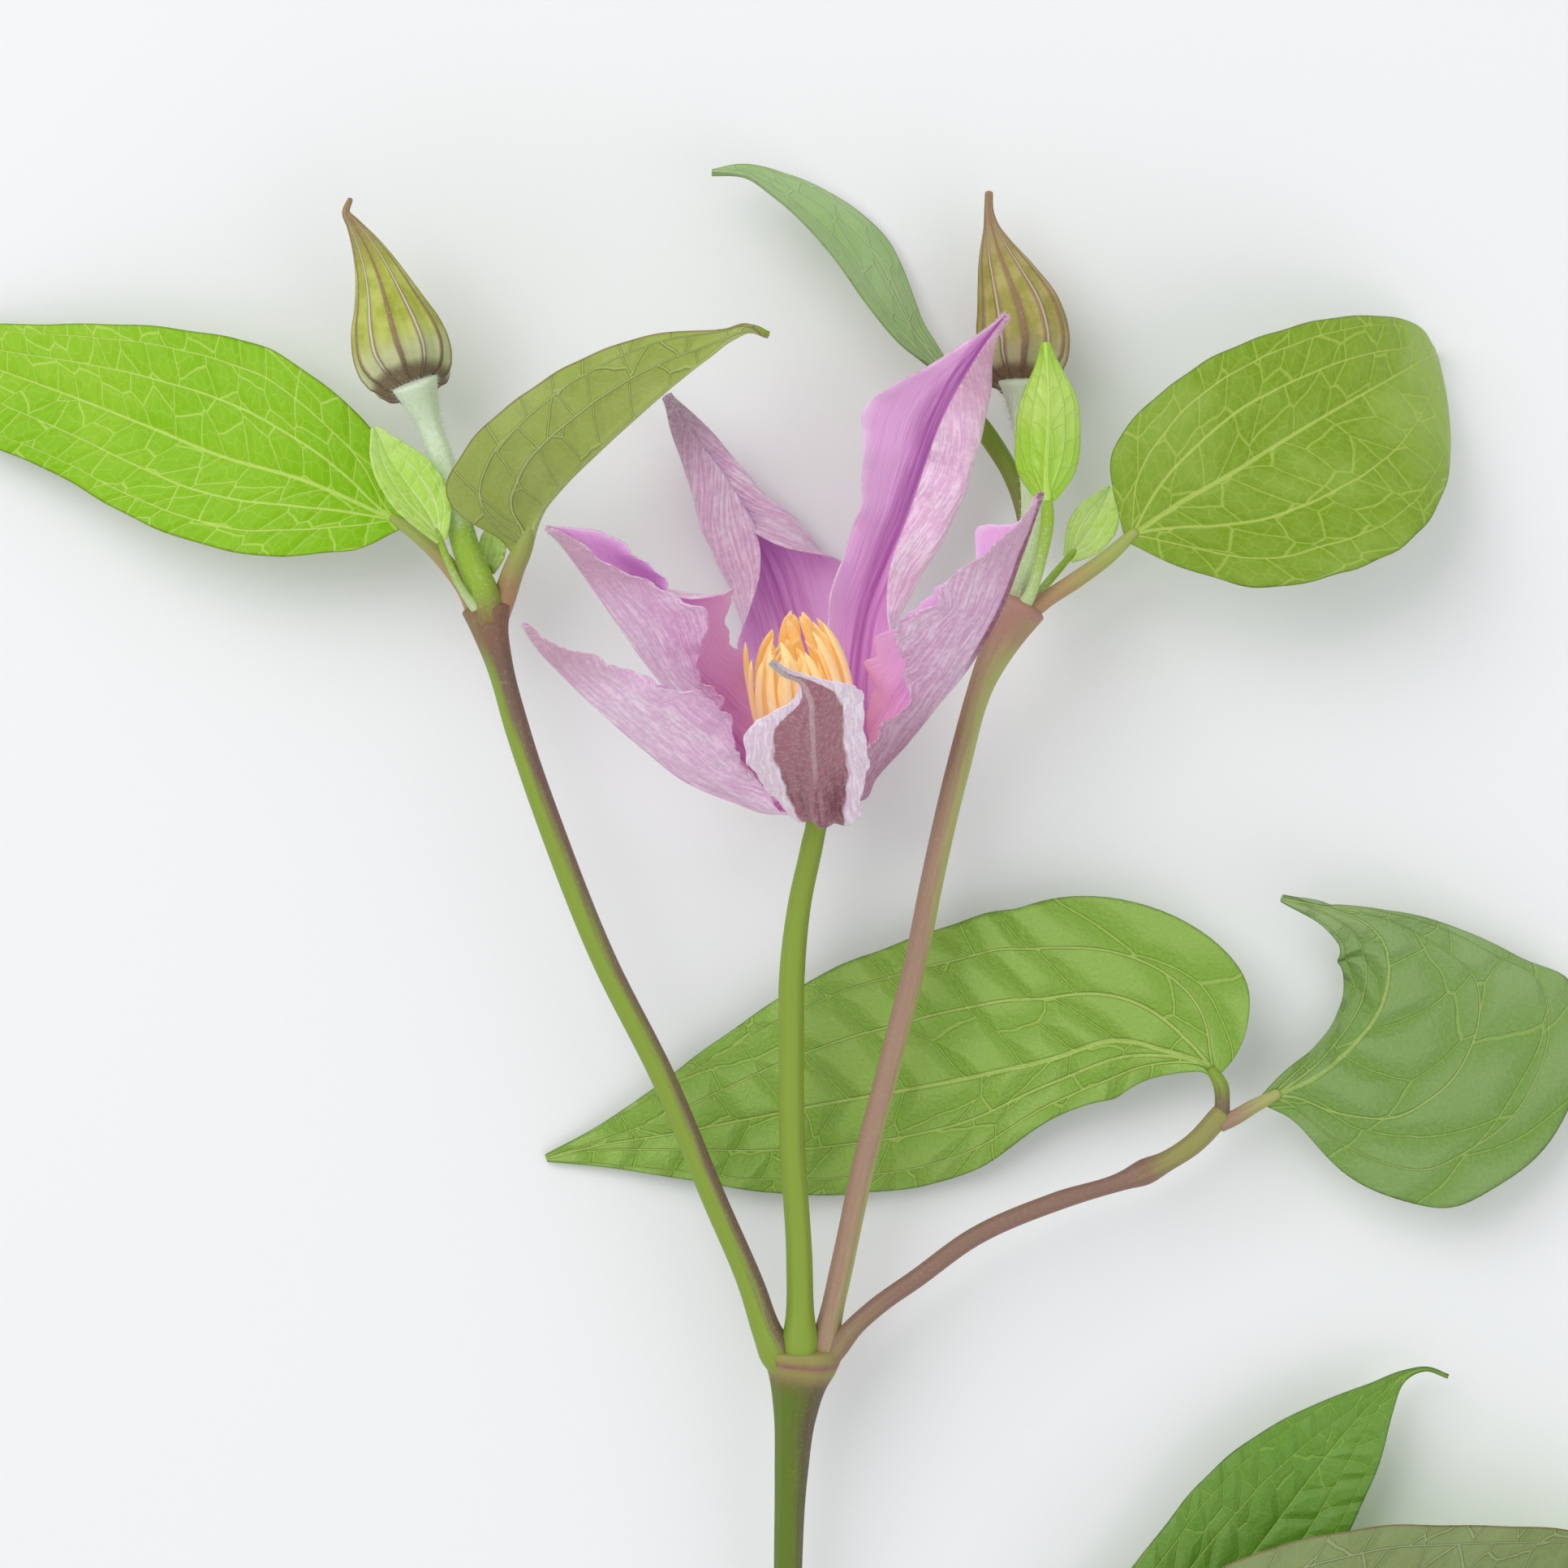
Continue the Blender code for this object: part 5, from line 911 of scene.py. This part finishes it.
# Buds. Routes run from the foot: x, y, z and radius.
buds = {
    "budLeft": dict(
        node="bud_left", skin=budGreen, route=((-45.8, 48.8, 15, 2.6), (-46, 49.3, 15, 3.8), (-46.2, 50, 15, 4.7),
            (-46.6, 51.3, 15, 5.4), (-47.4, 53.6, 15, 5.75), (-48.3, 56.6, 15, 5.3), (-49.3, 60.2, 15, 3.95),
            (-50.6, 64, 15, 2.65), (-52, 67, 15, 1.7), (-53.4, 69.4, 15, 0.9), (-54.3, 70.9, 15, 0.5),
            (-53.8, 72.4, 15.1, 0.35))),
    "budRight": dict(
        node="bud_right", skin=budBrown, route=((29.4, 49.4, 9, 2.4), (29.5, 50, 9, 3.7), (29.6, 51, 9, 4.5),
            (29.7, 52.5, 9, 5.1), (29.9, 55, 9, 5.5), (29.4, 58.4, 9, 5.25), (27.9, 63, 9, 3.8), (27, 65.5, 9, 2.8),
            (26.4, 67.5, 9, 1.9), (25.9, 69.6, 9, 1), (25.6, 71.6, 9, 0.6), (25.6, 73.8, 9, 0.5))),
}


budRibs = dict(ribs=12, height=0.05, baseLean=0.42)  # height as a share of the radius


# A bud: rings round a route, the radius raised by a cosine of the turn for the ribs, fading to the tip; the lowest
# rings lean back with their height, so that the foot of the bud shows round the stalk.
def budPiece(name, node, skin, route, ribs, height, baseLean, rings=110, sides=144):
    turn = turnsRound(sides)
    part = tubePart(route, rings=rings, sides=sides, ridges=0, domes=(0.25, 0.3))
    grid = part["points"].reshape(-1, sides, 3)
    share = part["values"]["span"][:, 1].reshape(-1, sides)[:, :1]
    centre = grid.mean(axis=1, keepdims=True)
    crest, kind = np.cos(ribs * turn)[None, :], np.cos(ribs / 2 * turn)[None, :]
    sharp = crest + 0.35 * np.cos(2 * ribs * turn)[None, :]
    grow = 1.0 + height * sharp * (1.0 - share ** 2)
    grown = centre + (grid - centre) * grow[:, :, None]
    lift = baseLean * (grown[:, :, 2] - centre[:, :, 2]) * (1.0 - stepUp(share, 0.0, 0.3))
    part["points"] = (grown + lift[:, :, None] * unit(centre[20] - centre[0])).reshape(-1, 3)
    part["values"]["veins"] = readings(crest, kind, share)
    placePiece(name, [part], [skin], [node])


# The bloom's own axes: out along its opening, to its right, and to its back.
bloomCentre = np.array((4.0, -0.2, 16.3))
bloomAxis = unit(np.array((-0.14, 0.86, 0.50)))
bloomRight = unit(np.cross(bloomAxis, (0.0, 0.0, 1.0)))
bloomBack = -np.cross(bloomRight, bloomAxis)


# A point at an angle and a distance from the bloom's axis, at a height along it.
def ringSpot(degrees, radius, height):
    angle = math.radians(degrees)
    return tuple(bloomCentre + radius * (math.cos(angle) * bloomRight + math.sin(angle) * bloomBack)
                 + height * bloomAxis)


# Tepals. Angle: degrees round the bloom's axis. Shoulder: a distance from that axis and a height along it.
# The rest is as for leaves.
tepals = {
    "tepalFront": dict(
        node="tepal_front", angle=270, outside=bandedOutside, shoulder=(6.8, -1.4), shoulderHalf=4, pleats=1,
        stations=((4.3, -2.8, 27, 5.4, 5.4), (3.9, -0.4, 34, 6.8, 6.8), (3.5, 4, 44, 7.6, 8.2),
            (3.4, 6, 47.6, 7.8, 8), (3.3, 7.6, 50, 7.2, 4.8), (3, 10.6, 53.6, 4, 1.6), (2, 12.4, 54.8, 0.9, 0.8),
            (0.2, 13.2, 55.4, 0.5, 0.5), (-1.4, 14.6, 55.6, 0.3, 0.3)),
        face=((0, 0.1, 0.8, 0), (0.8, 0.05, 0.9, -0.4), (1, 0.5, 0.7, -0.5)),
        left=((0, 6, 12, 0), (0.5, 26, -6, 0), (0.76, 40, -6, 0), (1, 20, 0, 0)),
        right=((0, 6, 12, 0), (0.5, 22, -6, -16), (0.75, 26, -6, -20), (1, 20, 0, 0)),
        frill=((0.3, 4, 0.1), (0.12, 15, 0.3))),
    "tepalLeftLow": dict(
        node="tepal_left_low", angle=210, outside=dustyOutside,
        stations=((-6, -2, 21, 5.4, 5), (-12, 0.6, 25.4, 9, 8.5), (-16.8, 4.4, 30.8, 11.4, 8.2),
            (-21.8, 8.8, 37.4, 10, 5.2), (-26.3, 13.2, 43, 6, 3), (-29.4, 16.8, 46.6, 1.9, 1),
            (-30.6, 19, 48.2, 0.12, 0.12)), face=((0, 0.5, 0.8, 0.1), (1, 0.55, 0.8, 0.2)),
        left=((0, 10, 10, 0), (0.14, 25, 20, 0), (0.3, 38, 24, 0), (1, 35, 20, 0)),
        right=((0, 10, 10, 0), (0.14, 25, 20, 0), (0.3, 45, 25, 0), (1, 35, 20, 0)), wave=(0.7, 3, 0.2),
        frill=((0.4, 7, 0.1), (0.2, 15, 0.4))),
    "tepalLeftHigh": dict(
        node="tepal_left_high", angle=150, outside=dustyOutside,
        stations=((-5.2, 3, 13.8, 3.6, 5), (-11, 8.2, 17, 5.2, 9.5), (-15.8, 13.6, 23, 7.4, 12.6),
            (-20, 19.6, 29.4, 12, 12.4), (-24, 25.4, 35.2, 7.2, 6.6), (-26.8, 29.2, 38.6, 2.8, 2.2),
            (-28.2, 30.8, 40.2, 0.25, 0.25)), face=((0, 0.6, 0.3, 0.6), (0.3, 0.7, 0.6, 0.3), (1, 0.75, 0.6, 0.25)),
        left=((0, 10, 10, 0), (0.14, 15, 15, 0), (0.3, 26, 20, 0), (0.6, 40, 20, 0), (1, 35, 20, 0)),
        right=((0, 10, 10, 0), (0.14, 25, 20, 0), (0.3, 60, 20, 0), (0.52, 60, 30, 0), (0.64, 60, 30, 60),
            (1, 40, 20, 0)), wave=(0.8, 3, 0.6), frill=((0.5, 7, 0.5), (0.25, 16, 0.2))),
    "tepalBackLeft": dict(
        node="tepal_back_left", angle=90, outside=brownTipShadedOutside,
        stations=((3.6, 7.4, 5.4, 4.6, 4.2), (2.2, 13.6, 2.6, 8, 6), (0.4, 21, 0.5, 11, 9.4),
            (-2.6, 29, 0.1, 13.4, 12.6), (-6.4, 35.5, 1.4, 12.8, 9.6), (-9.8, 41.2, 4, 8.8, 6.2),
            (-12.6, 45.4, 6.8, 4.8, 3.8), (-14.6, 48.4, 9, 0.6, 0.6)),
        face=((0, 0, 0.8, 0.6), (0.3, 0, 0.3, 1), (1, 0.2, -0.3, 1)),
        left=((0, 10, 10, 0), (0.3, 6, 40, 0), (0.5, 10, 30, 90), (0.65, 20, 30, 130), (1, 24, 30, 110)),
        right=((0, 10, 10, 0), (0.3, 4, 20, 0), (0.46, 4, 20, 10), (0.56, 10, 20, 100), (0.65, 20, 30, 125),
            (1, 24, 30, 110)), frill=((0.5, 6, 0.3), (0.25, 17, 0))),
    "tepalBackRight": dict(
        node="tepal_back_right", angle=30, outside=dustyOutside,
        stations=((9, 7, 10, 4, 4.4), (9.2, 14, 8.2, 5.4, 6.4), (10.4, 21.4, 7.6, 6.6, 8.8),
            (12.9, 28.1, 7.4, 7.2, 10.2), (15.6, 34.8, 8.2, 7.6, 12), (17.6, 40.6, 9.8, 9, 13.2),
            (19.4, 45.5, 11.8, 10.6, 12.4), (22.2, 50.7, 14.8, 5, 8.6), (25.1, 54.9, 18, 1.6, 2.2),
            (27.3, 57.6, 20.8, 0.2, 0.2)), face=((0, 0, 0.8, 0.6), (0.3, 0, 0.2, 1), (1, -0.1, -0.3, 1)),
        left=((0, 4, 8, 0), (0.3, 35, 20, 0), (0.6, 25, 20, 0), (1, 15, 20, 0)),
        right=((0, 10, 10, 0), (0.3, 20, 30, 40), (0.45, 10, 20, 130), (0.65, 6, 20, 160), (1, 10, 20, 140)),
        wave=(0.9, 4, 0.3), frill=((0.6, 7, 0.6), (0.3, 17, 0.1), (1.6, 8, 0.2, 0.28, 0.14, 1))),
    "tepalRight": dict(
        node="tepal_right", angle=330, outside=darkRibShadedOutside,
        stations=((11, 0.6, 20.6, 5.4, 4.6), (14.8, 5, 24, 8.6, 5), (19, 10.2, 29, 10.4, 4.6),
            (21.4, 13.2, 32.4, 10.2, 7.4), (23.2, 16, 35.4, 9.6, 10.8), (26.6, 22.8, 41.6, 5.6, 9.2),
            (27.9, 26.6, 44.1, 7.4, 6.6), (29.2, 30.4, 46.6, 1.9, 2.6), (30.4, 34.6, 48.4, 0.15, 0.15)),
        face=((0, -0.5, 0.8, 0.2), (1, -0.6, 0.7, 0.3)),
        left=((0, 10, 10, 0), (0.14, 25, 20, 0), (0.3, 55, 25, 0), (1, 35, 20, 0)),
        right=((0, 10, 10, 0), (0.14, 25, 20, 0), (0.3, 42, 20, 0), (1, 35, 20, 0)), wave=(0.7, 3, 0.8),
        frill=((0.5, 6, 0.2), (0.25, 15, 0.6), (1.3, 9, 0.5, 0.38, 0.16, 0))),
}


# A tepal: a blade from its root in the bloom over a shoulder and through its stations, ribbed along both faces,
# with down that is thickest at the margin, the midrib and the tip.
def tepalPiece(name, node, angle, outside, stations, shoulder=(6.4, -1.0), shoulderHalf=2.9, root=(3.1, -1.2),
               rootHalf=1.15, thickness=0.38, furrow=0.14, rib=0.2, **blade):
    start = (*ringSpot(angle, *root), rootHalf, rootHalf)
    turn = (*ringSpot(angle, *shoulder), shoulderHalf, shoulderHalf)
    sheet = sheetGrid((start, turn) + stations, rows=190, strips=32, uneven=0.03, cross=0.07, **blade)
    size, wide, share = np.abs(sheet["v"]), sheet["wide"], sheet["share"]
    ridges = bump(size * wide, 0.35) + 0.8 * bump((size - 0.2) * wide, 0.3) + 0.5 * bump((size - 0.45) * wide, 0.3)
    fade = stepUp(share, 0.02, 0.2) * stepUp(1.0 - size, 0.0, 0.3)
    part = bladePart(sheet, thickness, -furrow * ridges * fade, rib * ridges * fade)
    total = sheet["v"].size
    draw = np.random.default_rng(angle)
    slopes = [np.gradient(sheet["points"], axis=axis) for axis in (0, 1)]
    normals = unit(np.cross(*slopes)).reshape(-1, 3)
    weight = (0.04 + bump(size, 0.06) + 1.5 * bump(1.0 - size, 0.02) + 1.2 * stepUp(share, 0.85, 1.0)).ravel()
    chosen = draw.choice(total, tepalHairCount, p=weight / weight.sum())
    hairs = hairPart(part["points"][total + chosen], normals[chosen], 2, **tepalHairs)
    placePiece(name, [part, hairs], [lilacInside, outside, hairWhite], [node])


# Stamens and styles, each with its rings: number, root radius, belly radius, length, half-turn offset, width,
# and how far the tips bend in.
middle = {
    "stamenBunch": dict(node="stamens", slotName="stamen", skin=stamenGold, depth=0.42, rings=(
        (17, 4.3, 6.4, 24.0, 0.0, 1.45, 1.2), (15, 3.6, 5.3, 22.6, 0.5, 1.45, 1.6), (12, 2.9, 4.2, 20.6, 0.1, 1.4, 1.8),
        (9, 2.2, 3.1, 18.0, 0.6, 1.3, 1.8), (6, 1.6, 2.2, 16.0, 0.3, 1.2, 1.6))),
    "styleBunch": dict(node="styles", slotName="style", skin=styleGold, depth=0.25, rings=(
        (7, 1.0, 1.6, 13.6, 0.0, 0.7, 0.6), (5, 0.5, 1.0, 14.4, 0.5, 0.7, 0.4), (2, 0.2, 0.4, 15.0, 0.2, 0.6, 0.2))),
}


# A flat strap that swells out round the bloom's middle by a sine and bends in at the tip by the fourth power of the
# share; its rings are ovals with a groove on both faces, broader to the anther and closed in a blunt end.
def strapPart(angle, root, belly, length, width, bendIn, lean, depth, rings=16, sides=8):
    share = np.linspace(0.0, 1.0, rings)
    out = root + (belly - root) * np.sin(math.pi * share * 0.78) - (bendIn - 0.7 * lean) * share ** 4
    height = length * (share - 0.08 * share ** 3) + 0.6
    outward = math.cos(angle) * bloomRight + math.sin(angle) * bloomBack
    aside = -math.sin(angle) * bloomRight + math.cos(angle) * bloomBack
    drift = 0.8 * lean * share ** 3
    centre = bloomCentre + out[:, None] * outward + drift[:, None] * aside + height[:, None] * bloomAxis
    half = width / 2 * (0.62 + 0.46 * stepUp(share, 0.2, 0.65)) * np.sqrt(np.clip(1.0 - share ** 12, 0.02, 1.0))
    turn = turnsRound(sides)
    groove = 1.0 - 0.3 * np.abs(np.sin(turn)) ** 3
    points = (centre[:, None] + (half[:, None] * np.cos(turn))[:, :, None] * aside
              + (depth * (half / half.max())[:, None] * np.sin(turn) * groove)[:, :, None] * outward)
    quads, caps = ringFaces(rings, sides)  # these rings turn the other way, so their faces are reversed
    return {"points": points.reshape(-1, 3), "faces": [np.roll(quads[:, ::-1], 1, axis=1), caps[:, ::-1]],
            "numbers": [0, 0], "values": {"span": readings(*[np.repeat(share, sides)] * 3)}}


# All straps of both bunches, set evenly round each ring and shifted, shortened and leaned at random.
def middlePieces():
    draw = np.random.default_rng(11)
    for name, bunch in middle.items():
        parts = []
        for number, root, belly, length, offset, width, bendIn in bunch["rings"]:
            for place in range(number):
                angle = (place + offset + draw.uniform(-0.2, 0.2)) * 2 * math.pi / number
                parts.append(strapPart(angle, root, belly + draw.uniform(-0.2, 0.25), length * draw.uniform(0.90, 1.04),
                                       width * draw.uniform(0.85, 1.1), bendIn, draw.uniform(-2.2, 2.2),
                                       bunch["depth"]))
        placePiece(name, parts, [bunch["skin"]], [bunch["node"]])


lamps = {
    "keyLight": dict(place=(-0.55, 0.55, 0.9), power=5.8, wide=0.9),
    "fillLight": dict(place=(0.7, -0.5, 0.8), power=2.5, wide=1.0),
}
lampTarget = (0.0, 0.03, 0.02)
room = dict(colour=(0.97, 0.985, 1.0, 1.0), strength=0.64)
floorValues = dict(half=3.0, colour=(0.90, 0.905, 0.915, 1.0), roughness=0.9)
view = dict(place=(0.0, 0.0471, 0.820), sensor=36.0, away=800.0, wide=193.2)  # it takes in wide mm at away mm


# A pale floor, an even room light, two large lamps turned to the bloom, and the camera straight above.
def studio():
    half = floorValues["half"]
    sheet = bpy.data.meshes.new("floor")
    sheet.from_pydata([(-half, -half, 0.0), (half, -half, 0.0), (half, half, 0.0), (-half, half, 0.0)], [],
                      [(0, 1, 2, 3)])
    ground = bpy.data.objects.new("floor", sheet)
    paper, _, shader = startMaterial("paleFloor", floorValues["roughness"], 0.5)
    shader.inputs["Base Color"].default_value = floorValues["colour"]
    sheet.materials.append(paper)
    world = bpy.data.worlds.new("softRoom")
    world.use_nodes = True
    background = world.node_tree.nodes["Background"]
    background.inputs["Color"].default_value = room["colour"]
    background.inputs["Strength"].default_value = room["strength"]
    bpy.context.scene.world = world
    things = [ground]
    for name, values in lamps.items():
        lamp = bpy.data.lights.new(name, "AREA")
        lamp.energy = values["power"]
        lamp.size = values["wide"]
        thing = bpy.data.objects.new(name, lamp)
        thing.location = values["place"]
        x, y, z = np.array(values["place"]) - np.array(lampTarget)
        thing.rotation_euler = (math.atan2(math.hypot(x, y), z), 0.0, math.atan2(y, x) + math.pi / 2)
        things.append(thing)
    lens = bpy.data.cameras.new("camera")
    lens.sensor_width = view["sensor"]
    lens.lens = view["sensor"] * view["away"] / view["wide"]
    lens.clip_start = 0.05
    camera = bpy.data.objects.new("camera", lens)
    camera.location = view["place"]
    for thing in (*things, camera):
        bpy.context.scene.collection.objects.link(thing)
    bpy.context.scene.camera = camera
    bpy.context.scene.view_settings.view_transform = "Standard"


studio()
for name, stem in stems.items():
    stemPiece(name, **stem)
print("stems made")
for name, leaf in leaves.items():
    leafPiece(name, **leaf)
for name, young in youngLeaves.items():
    youngLeafPiece(name, **young)
print("leaves made")
for name, bud in buds.items():
    budPiece(name, **bud, **budRibs)
for name, tepal in tepals.items():
    tepalPiece(name, **tepal)
middlePieces()
print("buds and bloom made")
